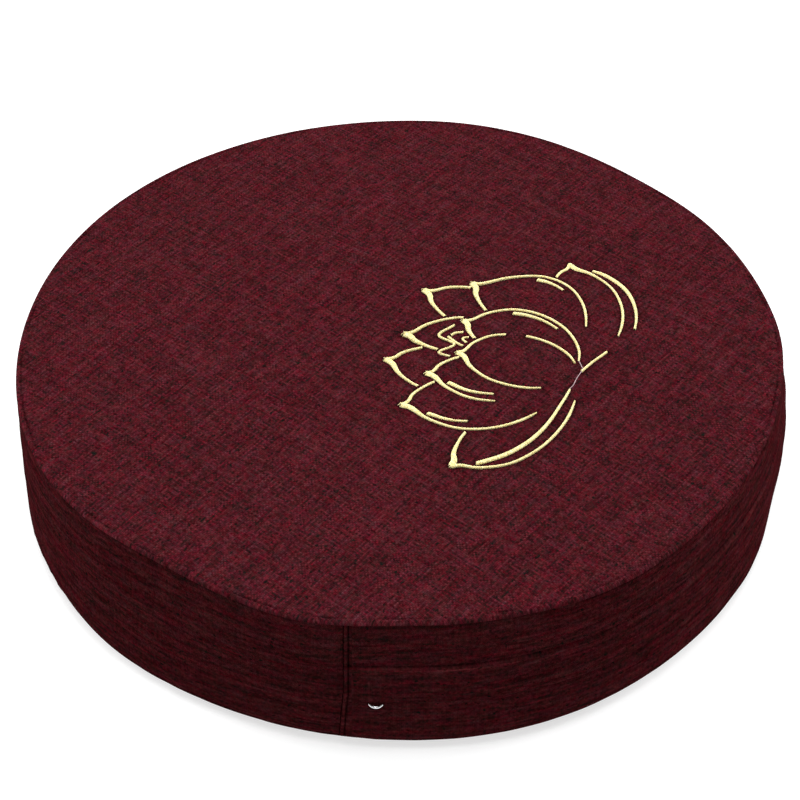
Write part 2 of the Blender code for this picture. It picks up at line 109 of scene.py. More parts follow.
def bumpsAt(table, angle):
    total = np.zeros_like(angle, dtype=float)
    for middle, outward, spread in table:
        away = (angle - middle + 180) % 360 - 180
        total += outward * np.exp(-0.5 * (away / spread) ** 2)
    return total


def wallRadius(height):
    low, high = form["baseSeam"], form["seamHeight"]
    height = np.clip(height, low, high)
    share = (height - low) / (high - low)
    drawn = form["drawnTop"] * np.exp((height - high) / form["drawnFade"])
    drawn += form["drawnBase"] * np.exp((low - height) / form["drawnFade"])
    return form["seamRadius"] + form["lean"] * (1 - share) + form["bulge"] * np.sin(math.pi * share) - drawn


def topHeight(radius):
    share = np.minimum(radius / (form["seamRadius"] - form["shoulder"]), 1.0)
    return form["seamHeight"] + form["shoulder"] + form["crown"] * (1 - share ** form["crownPower"])


def outlineBumps(angle, height):
    share = np.clip(height / form["seamHeight"], 0.0, 1.0)
    return bumpsAt(form["topBumps"], angle) * share + bumpsAt(form["baseBumps"], angle) * (1 - share)


# Middle of the outline's box, which every point is moved by
def outlineMiddle():
    steps = form["outlineRows"]
    rows = (1 + np.cos(math.pi * np.arange(steps + 1) / steps)) / 2
    height = (form["baseSeam"] + (form["seamHeight"] - form["baseSeam"]) * rows)[:, None]
    angle = np.arange(360.0)[None, :]
    onFlap = ((angle - zipPart["start"]) % 360 < zipPart["span"]) & (height < stitchHeight)
    radius = wallRadius(height) + outlineBumps(angle, height) + np.where(onFlap, zipPart["lap"], 0.0)
    across, along = radius * np.cos(np.radians(angle)), radius * np.sin(np.radians(angle))
    return np.array(((across.min() + across.max()) / 2, (along.min() + along.max()) / 2))


middle = outlineMiddle()


# Points of the round form, moved out or in by the outline's bumps
def onCushion(angle, radius, height):
    angle, radius, height = np.broadcast_arrays(angle, radius, height)
    reach = radius + outlineBumps(angle, height) * (radius / form["seamRadius"]) ** form["bumpFade"]
    turn = np.radians(angle)
    return np.stack((reach * np.cos(turn) - middle[0], reach * np.sin(turn) - middle[1], height), axis=-1)


# unevenness, the same on each run
noisePoints = 97  # points each way in the table that clothNoise repeats


# Smooth noise from -1 to 1 with bumps of about a size
def clothNoise(across, along, size, seed):
    table = np.random.default_rng(seed).uniform(-1, 1, (noisePoints, noisePoints))
    u, v = np.asarray(across) / size, np.asarray(along) / size
    i, j = np.floor(u).astype(int), np.floor(v).astype(int)
    s, t = u - i, v - j
    s, t = s * s * (3 - 2 * s), t * t * (3 - 2 * t)
    left, right = i % noisePoints, (i + 1) % noisePoints
    near, far = j % noisePoints, (j + 1) % noisePoints
    low = table[left, near] * (1 - s) + table[right, near] * s
    high = table[left, far] * (1 - s) + table[right, far] * s
    return low * (1 - t) + high * t


# Smooth noise from -1 to 1 round the cushion, with this many bumps
def ringNoise(angle, count, seed):
    table = np.random.default_rng(seed).uniform(-1, 1, count)
    place = np.asarray(angle) % 360 / 360 * count
    i = np.floor(place).astype(int)
    s = place - i
    s = s * s * (3 - 2 * s)
    return table[i % count] * (1 - s) + table[(i + 1) % count] * s


def arcLength(angle):
    return np.radians(angle) * form["seamRadius"]


# A soft bump of height 1
def hump(value, at, spread):
    return np.exp(-(((value - at) / spread) ** 2))


def evenAngles(count):
    return np.arange(count) * 360 / count


# meshes


def pieceFrom(name, points, faces, finish, smoothAngle=50):
    mesh = bpy.data.meshes.new(name)
    mesh.from_pydata([tuple(point) for point in np.asarray(points)], [], faces)
    mesh.validate()
    mesh.shade_smooth()
    mesh.set_sharp_from_angle(angle=math.radians(smoothAngle))
    mesh.materials.append(finish)
    piece = bpy.data.objects.new(name, mesh)
    bpy.context.scene.collection.objects.link(piece)
    return piece


# Keeps at each point how much painted shade a seam, a crease or the stitches' edge lays on the cloth there;
# below 0 it is a painted highlight
def keepPaintedShade(piece, rule, drawn=0.0):
    mesh = piece.data
    spots = np.empty(len(mesh.vertices) * 3)
    mesh.vertices.foreach_get("co", spots)
    spots = spots.reshape(-1, 3) + (middle[0], middle[1], 0.0)
    angle = np.degrees(np.arctan2(spots[:, 1], spots[:, 0])) % 360
    reach = np.hypot(spots[:, 0], spots[:, 1])
    radius = reach - outlineBumps(angle, spots[:, 2]) * (reach / form["seamRadius"]) ** form["bumpFade"]
    layer = mesh.attributes.new("paintedShade", "FLOAT", "POINT")
    layer.data.foreach_set("value", (rule(angle, radius, spots[:, 2]) + drawn).astype(np.float32))


# A skin of rings from the middle out, where a ring may have twice the points
# of the one inside it
def ringsMesh(rings, counts):
    points, faces, starts = [], [], []
    for ring, count in zip(rings, counts):
        starts.append(len(points))
        points.extend(ring)
    centre = len(points)
    points.append(np.mean(rings[0], axis=0))
    for k in range(counts[0]):
        faces.append((centre, starts[0] + k, starts[0] + (k + 1) % counts[0]))
    for inner in range(len(rings) - 1):
        few, many = counts[inner], counts[inner + 1]
        a, b = starts[inner], starts[inner + 1]
        for k in range(few):
            nextInner = a + (k + 1) % few
            if many == few:
                faces.append((a + k, b + k, b + (k + 1) % many, nextInner))
            else:
                first, second, third = b + 2 * k, b + 2 * k + 1, b + (2 * k + 2) % many
                faces.append((a + k, first, second))
                faces.append((a + k, second, nextInner))
                faces.append((nextInner, second, third))
    return np.array(points), faces, starts


# A round cover as a closed sheet: both skins have as many points at their rims
def closedCover(name, outerRings, outerCounts, innerRings, innerCounts, finish):
    outer, outerFaces, outerStarts = ringsMesh(outerRings, outerCounts)
    inner, innerFaces, innerStarts = ringsMesh(innerRings, innerCounts)
    shift = len(outer)
    faces = list(outerFaces) + [tuple(shift + k for k in face[::-1]) for face in innerFaces]
    rim = outerCounts[-1]
    a, b = outerStarts[-1], shift + innerStarts[-1]
    for k in range(rim):
        faces.append((a + k, b + k, b + (k + 1) % rim, a + (k + 1) % rim))
    return pieceFrom(name, np.vstack((outer, inner)), faces, finish)


# A strip as a closed sheet from two grids of points (rows from the top down,
# columns counter-clockwise), with the same columns and any number of rows
def closedStrip(name, outer, inner, finish):
    faces = []
    rows, columns = outer.shape[:2]
    innerRows = inner.shape[0]
    shift = rows * columns
    for r in range(rows - 1):
        for c in range(columns - 1):
            k = r * columns + c
            faces.append((k, k + columns, k + columns + 1, k + 1))
    for r in range(innerRows - 1):
        for c in range(columns - 1):
            k = shift + r * columns + c
            faces.append((k, k + 1, k + columns + 1, k + columns))
    lowOuter, lowInner = (rows - 1) * columns, shift + (innerRows - 1) * columns
    for c in range(columns - 1):
        faces.append((c, c + 1, shift + c + 1, shift + c))
        faces.append((lowOuter + c + 1, lowOuter + c, lowInner + c, lowInner + c + 1))
    for c, turned in ((0, False), (columns - 1, True)):
        side = [r * columns + c for r in range(rows)]
        side += [shift + r * columns + c for r in range(innerRows)][::-1]
        faces.append(tuple(side if turned else side[::-1]))
    points = np.vstack((outer.reshape(-1, 3), inner.reshape(-1, 3)))
    return pieceFrom(name, points, faces, finish)


# materials


def newMaterial(name):
    made = bpy.data.materials.new(name)
    made.use_nodes = True
    return made, made.node_tree, made.node_tree.nodes["Principled BSDF"]


def feed(tree, socket, value):
    if isinstance(value, bpy.types.NodeSocket):
        tree.links.new(value, socket)
    else:
        socket.default_value = value


def sums(tree, operation, first, second=0.0, third=0.0):
    node = tree.nodes.new("ShaderNodeMath")
    node.operation = operation
    for socket, value in zip(node.inputs, (first, second, third)):
        feed(tree, socket, value)
    return node.outputs[0]


def joined(tree, x, y, z=0.0):
    node = tree.nodes.new("ShaderNodeCombineXYZ")
    for socket, value in zip(node.inputs, (x, y, z)):
        feed(tree, socket, value)
    return node.outputs[0]


def noiseAt(tree, place, scale, detail=1.0, roughness=0.5):
    node = tree.nodes.new("ShaderNodeTexNoise")
    feed(tree, node.inputs["Vector"], place)
    node.inputs["Scale"].default_value = scale
    node.inputs["Detail"].default_value = detail
    node.inputs["Roughness"].default_value = roughness
    return node.outputs["Fac"]


def rampOf(tree, fac, stops):
    node = tree.nodes.new("ShaderNodeValToRGB")
    ramp = node.color_ramp
    while len(ramp.elements) < len(stops):
        ramp.elements.new(0.5)
    for element, (place, colour) in zip(ramp.elements, stops):
        element.position = place
        element.color = (*colour, 1.0)
    feed(tree, node.inputs["Fac"], fac)
    return node.outputs["Color"]


def mixed(tree, kind, share, first, second):
    node = tree.nodes.new("ShaderNodeMix")
    node.data_type = "RGBA"
    node.blend_type = kind
    feed(tree, node.inputs[0], share)
    feed(tree, node.inputs[6], first)
    feed(tree, node.inputs[7], second)
    return node.outputs[2]


cloth = {
    "yarnPitch": 1.15,  # millimetres from yarn to yarn
    # the yarns' tones, near black to light wine: where each stands in the noise, and its colour
    "tones": (
        (0.34, (0.0075, 0.0058, 0.0055)),
        (0.42, (0.0215, 0.0044, 0.0052)),
        (0.50, (0.0490, 0.0066, 0.0094)),
        (0.62, (0.0930, 0.0130, 0.0190)),
    ),
    "dullTints": ((0.38, (1.18, 0.50, 0.72)), (0.62, (0.80, 1.72, 1.36))),  # reddest and dullest yarn
    "leanTints": ((0.42, (1.02, 1.0, 0.95)), (0.60, (0.97, 0.97, 1.08))),  # patches warmer or purpler
    "speckScale": 0.55,  # specks for each millimetre
    "fleckScale": 0.33,  # a few of them are larger and near black
    "fleckShare": 1.6,
    "steadyLength": 60.0,  # millimetres over which a whole yarn stays darker or lighter
    "bump": 0.35,
    "bumpDistance": 0.0003,
    "roughness": 0.9,
    "slubNoise": (2.5, 0.55),  # detail and roughness
    "spotDetail": 1.5,
    "steadyNext": 1.1,  # of what the next yarn's tone differs by
    "driftScale": 0.06,  # the yarns wander from straight
    "drift": (1.5, -1.2),
    "fleckPull": 1.3,
    "fleckStart": 0.66,
    "leanScale": 0.17,
    "leanDetail": 2.0,
    "topShade": 0.87,
    # the band's cloth is painted darker than the top's, as painted shade on its upright sides; the top's and
    # base's levels set the cloth's own tone
    "bandPaintedShade": 0.69,
    "baseShade": 0.90,
    # an offset for each noise, so that no two of them show the same pattern
    "apart": {
        "tone": 2.4,
        "dull": 71.1,
        "fleck": 55.0,
        "lean": 40.0,
        "weft": 31.7,
        "steady": 9.3,
        "specks": 3.0,
        "patches": 8.6,
    },
    "topTurn": 50.4,  # the weft's direction on the top
    "topWeave": {
        "warpSlub": 6.0,  # millimetres over which a yarn keeps its tone
        "weftSlub": 8.0,
        "next": 1.37,  # how far the next yarn's tone may differ
        "weftUnder": 0.18,  # how much of the weft shows where it lies under, and how much more over
        "weftOver": 0.64,
        "steadyShare": 0.35,
        "yarns": 0.74,  # shares of the tone: of whole yarns, of specks and of wide patches
        "specks": 0.27,
        "patches": 0.08,
        "patchScale": 0.11,  # patches for each millimetre
        "patchPull": 1.0,  # under 1 they are drawn out along the weft
        "checker": 0.09,  # how much lighter the weft is than the warp
        "hollowShade": 0.30,  # painted shade: how much darker the cloth is painted between yarns
        "blue": 1.0,
    },
    "bandWeave": {
        "warpSlub": 4.0,
        "weftSlub": 9.0,
        "next": 0.60,
        "weftUnder": 0.64,
        "weftOver": 0.26,
        "steadyShare": 0.45,
        "yarns": 0.56,
        "specks": 0.26,
        "patches": 0.19,
        "patchScale": 0.28,
        "patchPull": 0.22,
        "checker": 0.04,
        "hollowShade": 0.16,
        "blue": 0.90,  # the band looks a little warmer than the top
    },
}


# Where a spot lies on the flat cloth, in millimetres: across and along
def clothPlace(tree, wrapped):
    spot = tree.nodes.new("ShaderNodeTexCoord").outputs["Object"]
    mapping = tree.nodes.new("ShaderNodeMapping")
    mapping.vector_type = "POINT"
    feed(tree, mapping.inputs["Vector"], spot)
    mapping.inputs["Scale"].default_value = (1000, 1000, 1000)
    turn = 180 - zipPart["start"] if wrapped else -cloth["topTurn"]
    mapping.inputs["Rotation"].default_value = (0, 0, math.radians(turn))
    parts = tree.nodes.new("ShaderNodeSeparateXYZ")
    feed(tree, parts.inputs[0], mapping.outputs[0])
    if not wrapped:
        return parts.outputs[0], parts.outputs[1]
    angle = sums(tree, "ARCTAN2", parts.outputs[1], parts.outputs[0])
    return sums(tree, "MULTIPLY", angle, form["seamRadius"] * 1000), parts.outputs[2]


# Tone along a yarn: slubs of a length, and a share that the whole yarn keeps
def yarnTone(tree, number, length, slub, weave, seed):
    aside = sums(tree, "MULTIPLY", number, weave["next"])
    place = joined(tree, sums(tree, "DIVIDE", length, slub), aside, seed)
    slubs = noiseAt(tree, place, 1.0, *cloth["slubNoise"])
    place = joined(tree, sums(tree, "DIVIDE", length, cloth["steadyLength"]),
                   sums(tree, "MULTIPLY", number, weave["next"] * cloth["steadyNext"]),
                   seed + cloth["apart"]["steady"])
    steady = noiseAt(tree, place, 1.0)
    apart = sums(tree, "SUBTRACT", steady, slubs)
    return sums(tree, "ADD", slubs, sums(tree, "MULTIPLY", apart, weave["steadyShare"]))


# A plain weave of melange yarns: each yarn's tone changes along its length
def melangeCloth(name, wrapped, shade, weave):
    made, tree, shader = newMaterial(name)
    across, along = clothPlace(tree, wrapped)
    apart = cloth["apart"]
    drift = noiseAt(tree, joined(tree, across, along), cloth["driftScale"])
    across = sums(tree, "ADD", across, sums(tree, "MULTIPLY", drift, cloth["drift"][0]))
    along = sums(tree, "ADD", along, sums(tree, "MULTIPLY", drift, cloth["drift"][1]))
    u = sums(tree, "DIVIDE", across, cloth["yarnPitch"])
    v = sums(tree, "DIVIDE", along, cloth["yarnPitch"])
    warp, weft = sums(tree, "FLOOR", u), sums(tree, "FLOOR", v)
    over = sums(tree, "FLOORED_MODULO", sums(tree, "ADD", warp, weft), 2.0)
    share = sums(tree, "MULTIPLY_ADD", over, weave["weftOver"], weave["weftUnder"])

    def woven(seed):
        ofWarp = yarnTone(tree, warp, along, weave["warpSlub"], weave, seed)
        ofWeft = yarnTone(tree, weft, across, weave["weftSlub"], weave, seed + apart["weft"])
        between = sums(tree, "SUBTRACT", ofWeft, ofWarp)
        return sums(tree, "ADD", ofWarp, sums(tree, "MULTIPLY", between, share))

    def summed(seed):
        total = sums(tree, "MULTIPLY_ADD", woven(seed), weave["yarns"], (1 - weave["yarns"]) / 2)
        drawn = sums(tree, "MULTIPLY", across, weave["patchPull"])
        kinds = ((across, cloth["speckScale"], "specks"), (drawn, weave["patchScale"], "patches"))
        for place, scale, kind in kinds:
            spots = noiseAt(tree, joined(tree, place, along, seed + apart[kind]), scale, cloth["spotDetail"])
            spots = sums(tree, "MULTIPLY", sums(tree, "SUBTRACT", spots, 0.5), weave[kind])
            total = sums(tree, "ADD", total, spots)
        return total

    place = joined(tree, across, sums(tree, "MULTIPLY", along, cloth["fleckPull"]), apart["fleck"])
    fleck = noiseAt(tree, place, cloth["fleckScale"])
    fleck = sums(tree, "MAXIMUM", sums(tree, "SUBTRACT", fleck, cloth["fleckStart"]), 0.0)
    tone = sums(tree, "SUBTRACT", summed(apart["tone"]), sums(tree, "MULTIPLY", fleck, cloth["fleckShare"]))
    colour = rampOf(tree, tone, cloth["tones"])
    dullness = rampOf(tree, summed(apart["dull"]), cloth["dullTints"])
    colour = mixed(tree, "MULTIPLY", 1.0, colour, dullness)
    lean = noiseAt(tree, joined(tree, across, along, apart["lean"]), cloth["leanScale"], cloth["leanDetail"])
    leaning = rampOf(tree, lean, cloth["leanTints"])
    colour = mixed(tree, "MULTIPLY", 1.0, colour, leaning)
    acrossYarn = sums(tree, "SINE", sums(tree, "MULTIPLY", sums(tree, "FRACT", u), math.pi))
    alongYarn = sums(tree, "SINE", sums(tree, "MULTIPLY", sums(tree, "FRACT", v), math.pi))
    # painted shade: the cloth is painted darker in the hollows between yarns
    rise = sums(tree, "MULTIPLY", acrossYarn, alongYarn)
    depth = sums(tree, "MULTIPLY_ADD", rise, weave["hollowShade"], 1 - weave["hollowShade"] / 2 - weave["checker"])
    depth = sums(tree, "MULTIPLY_ADD", over, 2 * weave["checker"], depth)
    # painted shade of seams, grooves and stitches, and painted highlight where the value is below 0, kept at
    # the mesh's points
    paintedShade = tree.nodes.new("ShaderNodeAttribute")
    paintedShade.attribute_name = "paintedShade"
    # this level is painted shade on the band, and the cloth's own tone on the top and base
    depth = sums(tree, "MULTIPLY", depth, sums(tree, "MULTIPLY_ADD", paintedShade.outputs["Fac"], -shade, shade))
    blue = sums(tree, "MULTIPLY", depth, weave["blue"])
    colour = mixed(tree, "MULTIPLY", 1.0, colour, joined(tree, depth, depth, blue))
    feed(tree, shader.inputs["Base Color"], colour)
    shader.inputs["Roughness"].default_value = cloth["roughness"]
    shader.inputs["Specular IOR Level"].default_value = 0.0
    bump = tree.nodes.new("ShaderNodeBump")
    bump.inputs["Strength"].default_value = cloth["bump"]
    bump.inputs["Distance"].default_value = cloth["bumpDistance"]
    feed(tree, bump.inputs["Height"], rise)
    feed(tree, shader.inputs["Normal"], bump.outputs[0])
    return made


# grain: scale and detail of the noise; tones: where each colour stands in it
finishes = {
    "satin thread gold": {
        "grain": (900.0, 2.0),
        "tones": ((0.3, (0.60, 0.48, 0.17)), (0.5, (0.77, 0.67, 0.30)), (0.7, (0.88, 0.81, 0.44))),
        "roughness": 0.42,
        "sheen": 0.2,
    },
    "loose thread": {
        "grain": (1500.0, 1.0),
        "tones": ((0.3, (0.20, 0.12, 0.14)), (0.7, (0.42, 0.30, 0.30))),
        "roughness": 0.5,
    },
    "bright pull metal": {
        "grain": (700.0, 3.0),
        "tones": ((0.3, (0.72, 0.72, 0.74)), (0.7, (0.88, 0.88, 0.88))),
        "roughness": 0.15,
        "wear": 0.25,  # how much rougher the metal is where it is worn
        "metallic": 1.0,
    },
}


# The finish of a thread or of the pull, with a fine grain of its tones
def grainedFinish(name):
    finish = finishes[name]
    made, tree, shader = newMaterial(name)
    spot = tree.nodes.new("ShaderNodeTexCoord").outputs["Object"]
    grain = noiseAt(tree, spot, *finish["grain"])
    feed(tree, shader.inputs["Base Color"], rampOf(tree, grain, finish["tones"]))
    shader.inputs["Roughness"].default_value = finish["roughness"]
    if "wear" in finish:
        rough = sums(tree, "MULTIPLY_ADD", grain, finish["wear"], finish["roughness"])
        feed(tree, shader.inputs["Roughness"], rough)
    shader.inputs["Sheen Weight"].default_value = finish.get("sheen", 0.0)
    shader.inputs["Metallic"].default_value = finish.get("metallic", 0.0)
    return made


topCloth = melangeCloth("melange top cloth", False, cloth["topShade"], cloth["topWeave"])
bandCloth = melangeCloth("melange band cloth", True, cloth["bandPaintedShade"], cloth["bandWeave"])
baseCloth = melangeCloth("melange base cloth", False, cloth["baseShade"], cloth["topWeave"])
goldThread, looseThread, pullMetal = (grainedFinish(name) for name in finishes)
print("materials made")


# the lotus lines, in the flower's own frame: right is x, up is y
lotus = {
    "foot": (0.1035, -0.0320),
    "turn": 90.0,
    "thinLine": 0.0017,
    "boldLine": 0.0042,
    "boldReach": 0.0130,
    "softLine": 0.0023,
    "lineEnd": 0.55,
    "lineEndReach": 0.0060,
    "foldLine": 0.0030,
    "clearance": 0.0028,
    "foldClearance": 0.0034,
    "shortestLine": 0.0070,
    "shortestStep": 0.0004,
    "sideSteps": 3,
    "foldShare": 0.4,
    "broken": (1, 0.40, 0.50),  # petal, and shares of its right side, with no stitches
    # side of a petal: share of its half width, share of its length
    "petalForm": (
        (0.00, 0.00),
        (0.48, 0.10),
        (0.86, 0.29),
        (1.00, 0.53),
        (0.86, 0.76),
        (0.48, 0.91),
        (0.13, 0.97),
        (0.00, 1.02),
    ),
    # turn, length, left, right, left bow, right bow, bend, left start, right start, bold side,
    # fold side, inset, fold from, to
    "petals": (
        (11, 69, 23, 22, 1.30, 1.00, 0, 0.32, 0.07, -1, 0, 0, 0.36, 0.78),
        (35, 76, 15, 29, 1.00, 1.00, -2, 0.30, 0.06, -1, 1, 4, 0.34, 0.76),
        (-7, 86, 25, 17, 1.00, 1.00, 4, 0.46, 0.30, -1, -1, 6, 0.46, 0.84),
        (-23, 105, 31, 18, 0.80, 1.00, 6, 0.28, 0.30, -1, -1, 7, 0.48, 0.88),
        (57, 95, 13, 43, 1.00, 0.68, -4, 0.34, 0.20, -1, 1, 5, 0.42, 0.68),
        (-51, 109, 25, 16, 0.80, 1.00, 4, 0.20, 0.30, 1, -1, 8, 0.10, 0.90),
        (95, 94, 16, 28, 1.00, 0.90, -4, 0.50, 0.30, 1, 1, -8, 0.30, 0.88),
        (22, 103, 11, 25, 0.80, 0.90, -5, 0.30, 0.30, -1, 1, 4, 0.60, 0.86),
        (1, 110, 26, 17, 0.70, 1.00, 3, 0.30, 0.30, -1, -1, 5, 0.60, 0.88),
        (42, 111, 16, 24, 1.00, 0.80, -3, 0.30, 0.30, -1, 0, 0, 0.36, 0.78),
    ),
    "stamensBehind": 7,
    "stamens": (
        ((9, 76), (38, 75.5), 4.6, 2),
        ((17, 63), (27, 75), 0.6, 1),
        ((28, 63), (21, 65), -2.5, 1),
        ((29.5, 73), (32, 66), 0.5, 1),
    ),
    "foldThin": 0.8,  # of the thin line
    "foldSwell": 1.5,  # a fold line is widest past its middle
    "stamenThin": 0.9,
    "halvings": 5,  # how closely the place where a line is covered is found
    "patchStep": 20,
    "waveGrowth": 1.3,  # power by which a wave's turns grow longer towards its end
    "stamenPatch": ((25, 73), (13, 7)),
    "stalk": ((-3, -2), (5, -9), (14, -18)),
}


def smoothLine(corners, steps):
    corners = np.array(corners, dtype=float)
    ends = np.vstack((2 * corners[0] - corners[1], corners, 2 * corners[-1] - corners[-2]))
    line = []
    for before, start, stop, after in zip(ends, ends[1:], ends[2:], ends[3:]):
        for share in np.arange(steps) / steps:
            pull = (stop - before) * share + (2 * before - 5 * start + 4 * stop - after) * share**2
            pull += (3 * start - before - 3 * stop + after) * share**3
            line.append(start + pull / 2)
    return np.array(line + [corners[-1]])


def stepsOf(line):
    return np.hypot(*np.diff(line[:, :2], axis=0).T)


def petalSide(petal, side, inset=0):
    turn, length, left, right, leftBow, rightBow, bend = petal[:7]
    length = length / 1000
    belly = (right if side > 0 else left) / 1000
    line = smoothLine(lotus["petalForm"], lotus["sideSteps"])
    line[:, 1] **= rightBow if side > 0 else leftBow
    across = belly * line[:, 0]
    across -= np.minimum(inset / 1000, across * lotus["foldShare"])
    points = np.stack((side * across, length * line[:, 1]), axis=1)
    points[:, 0] += length * math.radians(bend) * line[:, 1] ** 2
    angle = math.radians(-turn)
    spin = np.array(((math.cos(angle), -math.sin(angle)), (math.sin(angle), math.cos(angle))))
    return points @ spin.T


# The stretch of a petal's right side that isn't stitched
def lineBreak(petal):
    line = petalSide(petal, 1)
    first, last = (round(len(line) * share) for share in lotus["broken"][1:])
    return line[first:last]


def petalOutline(petal):
    return np.vstack((petalSide(petal, -1), petalSide(petal, 1)[::-1]))


def inside(point, outline):
    x, y = point
    crossings = 0
    for (ax, ay), (bx, by) in zip(outline, np.roll(outline, -1, axis=0)):
        if (ay > y) != (by > y) and x < ax + (y - ay) * (bx - ax) / (by - ay):
            crossings += 1
    return crossings % 2 == 1


def distanceTo(point, outline):
    along = np.roll(outline, -1, axis=0) - outline
    square = np.maximum((along**2).sum(axis=1), 1e-12)
    share = np.clip(((point - outline) * along).sum(axis=1) / square, 0, 1)
    return float(np.sqrt(((outline + along * share[:, None] - point) ** 2).sum(axis=1)).min())


def isHidden(point, inFront, beside):
    covered = any(inside(point, each) or distanceTo(point, each) < lotus["clearance"] for each in inFront)
    return covered or any(distanceTo(point, each) < lotus["foldClearance"] for each in beside)


def lastSeen(shown, hidden, inFront, beside):
    for _ in range(lotus["halvings"]):
        between = (shown + hidden) / 2
        if isHidden(between[:2], inFront, beside):
            hidden = between
        else:
            shown = between
    return shown


# The stretches of a line that no petal in front covers
def visibleRuns(points, widths, inFront, beside=()):
    spots = np.column_stack((points, widths))
    seen = [not isHidden(spot[:2], inFront, beside) for spot in spots]
    runs = [[]]
    for number, spot in enumerate(spots):
        if number and seen[number] != seen[number - 1]:
            shown, hidden = (spot, spots[number - 1]) if seen[number] else (spots[number - 1], spot)
            end = lastSeen(shown, hidden, inFront, beside)
            if np.hypot(*(end - shown)[:2]) > lotus["shortestStep"]:
                runs[-1].append(end)
        if seen[number]:
            runs[-1].append(spot)
        else:
            runs.append([])
    for run in runs:
        if len(run) > 2 and stepsOf(np.array(run)).sum() > lotus["shortestLine"]:
            yield np.array(run)


def petalLine(petal):
    leftStart, rightStart, bold = petal[7:10]
    points, widths = [], []
    for side, start in ((-1, leftStart), (1, rightStart)):
        line = petalSide(petal, side)
        line = line[round(start * (len(line) - 1)):]
        toTip = np.append(np.cumsum(stepsOf(line[::-1]))[::-1], 0.0)
        swell = lotus["boldLine"] if side == bold else lotus["softLine"]
        width = lotus["thinLine"] + (swell - lotus["thinLine"]) * np.exp(-((toTip / lotus["boldReach"]) ** 2))
        fromFoot = (toTip[0] - toTip) / lotus["lineEndReach"]
        width *= 1 - (1 - lotus["lineEnd"]) * np.exp(-(fromFoot**2))
        if side > 0:
            line, width = line[::-1][1:], width[::-1][1:]
        points.append(line)
        widths.append(width)
    return np.vstack(points), np.concatenate(widths)


def foldLine(petal):
    side, inset, start, stop = petal[10:]
    line = petalSide(petal, side, inset)
    first, last = round(len(line) * start), round(len(line) * stop)
    line = line[first:last]
    share = np.linspace(0, 1, len(line))
    thin = lotus["thinLine"] * lotus["foldThin"]
    return line, thin + (lotus["foldLine"] - thin) * np.sin(np.pi * share ** lotus["foldSwell"])


def stamenLine(row):
    start, stop, swing, turns = row
    start, stop = np.array(start), np.array(stop)
    along = (stop - start) / np.hypot(*(stop - start))
    across = np.array((-along[1], along[0])) * swing
    share = np.linspace(0, 1, 2 * turns + 1)[:, None] ** lotus["waveGrowth"]
    sides = np.where(np.arange(2 * turns + 1) % 2, 1, -1)[:, None]
    corners = start + (stop - start) * share + across * sides
    line = smoothLine(corners, lotus["sideSteps"]) / 1000
    return line, np.full(len(line), lotus["thinLine"] * lotus["stamenThin"])


def stamenPatch():
    (x, y), (wide, high) = lotus["stamenPatch"]
    turns = np.radians(np.arange(0, 360, lotus["patchStep"]))
    return np.stack((x + wide * np.cos(turns), y + high * np.sin(turns)), axis=1) / 1000


# Every visible line, front to back: its node's name, then points with widths
def lotusLines():
    stalk = smoothLine(lotus["stalk"], lotus["sideSteps"]) / 1000
    yield "lotus_stalk", np.column_stack((stalk, np.full(len(stalk), lotus["thinLine"])))
    inFront = []
    for number, petal in enumerate(lotus["petals"], start=1):
        outline = petalOutline(petal)
        broken = (lineBreak(petal),) if number == lotus["broken"][0] else ()
        lines = [("petal", petalLine(petal), broken)]
        if petal[10]:
            lines.append(("fold", foldLine(petal), (outline,)))
        for kind, (points, widths), beside in lines:
            for letter, run in zip("abcd", visibleRuns(points, widths, inFront, beside)):
                yield f"lotus_{kind}_{number:02d}{letter}", run
        inFront.append(outline)
        if number == lotus["stamensBehind"]:
            for row, stamens in enumerate(lotus["stamens"], start=1):
                for letter, run in zip("abcd", visibleRuns(*stamenLine(stamens), inFront)):
                    yield f"lotus_stamens_{row}{letter}", run
            inFront.append(stamenPatch())


# From the flower's frame to the plan of the cushion, before the middle shift
def ontoTop(points):
    turn = math.radians(lotus["turn"])
    x = lotus["foot"][0] + points[:, 0] * math.cos(turn) - points[:, 1] * math.sin(turn)
    y = lotus["foot"][1] + points[:, 0] * math.sin(turn) + points[:, 1] * math.cos(turn)
    return np.stack((x, y), axis=1)


lotusRuns = dict(lotusLines())
print("lotus lines:", len(lotusRuns))


# radius and number of points of the rings on a cover's inner side
innerRings = ((0.02, 45), (0.05, 90), (0.1, 180), (0.15, 360), (0.2, 720))


def flatRings(plan, heightAt):
    return [onCushion(evenAngles(count), radius, heightAt(radius)) for radius, count in plan]


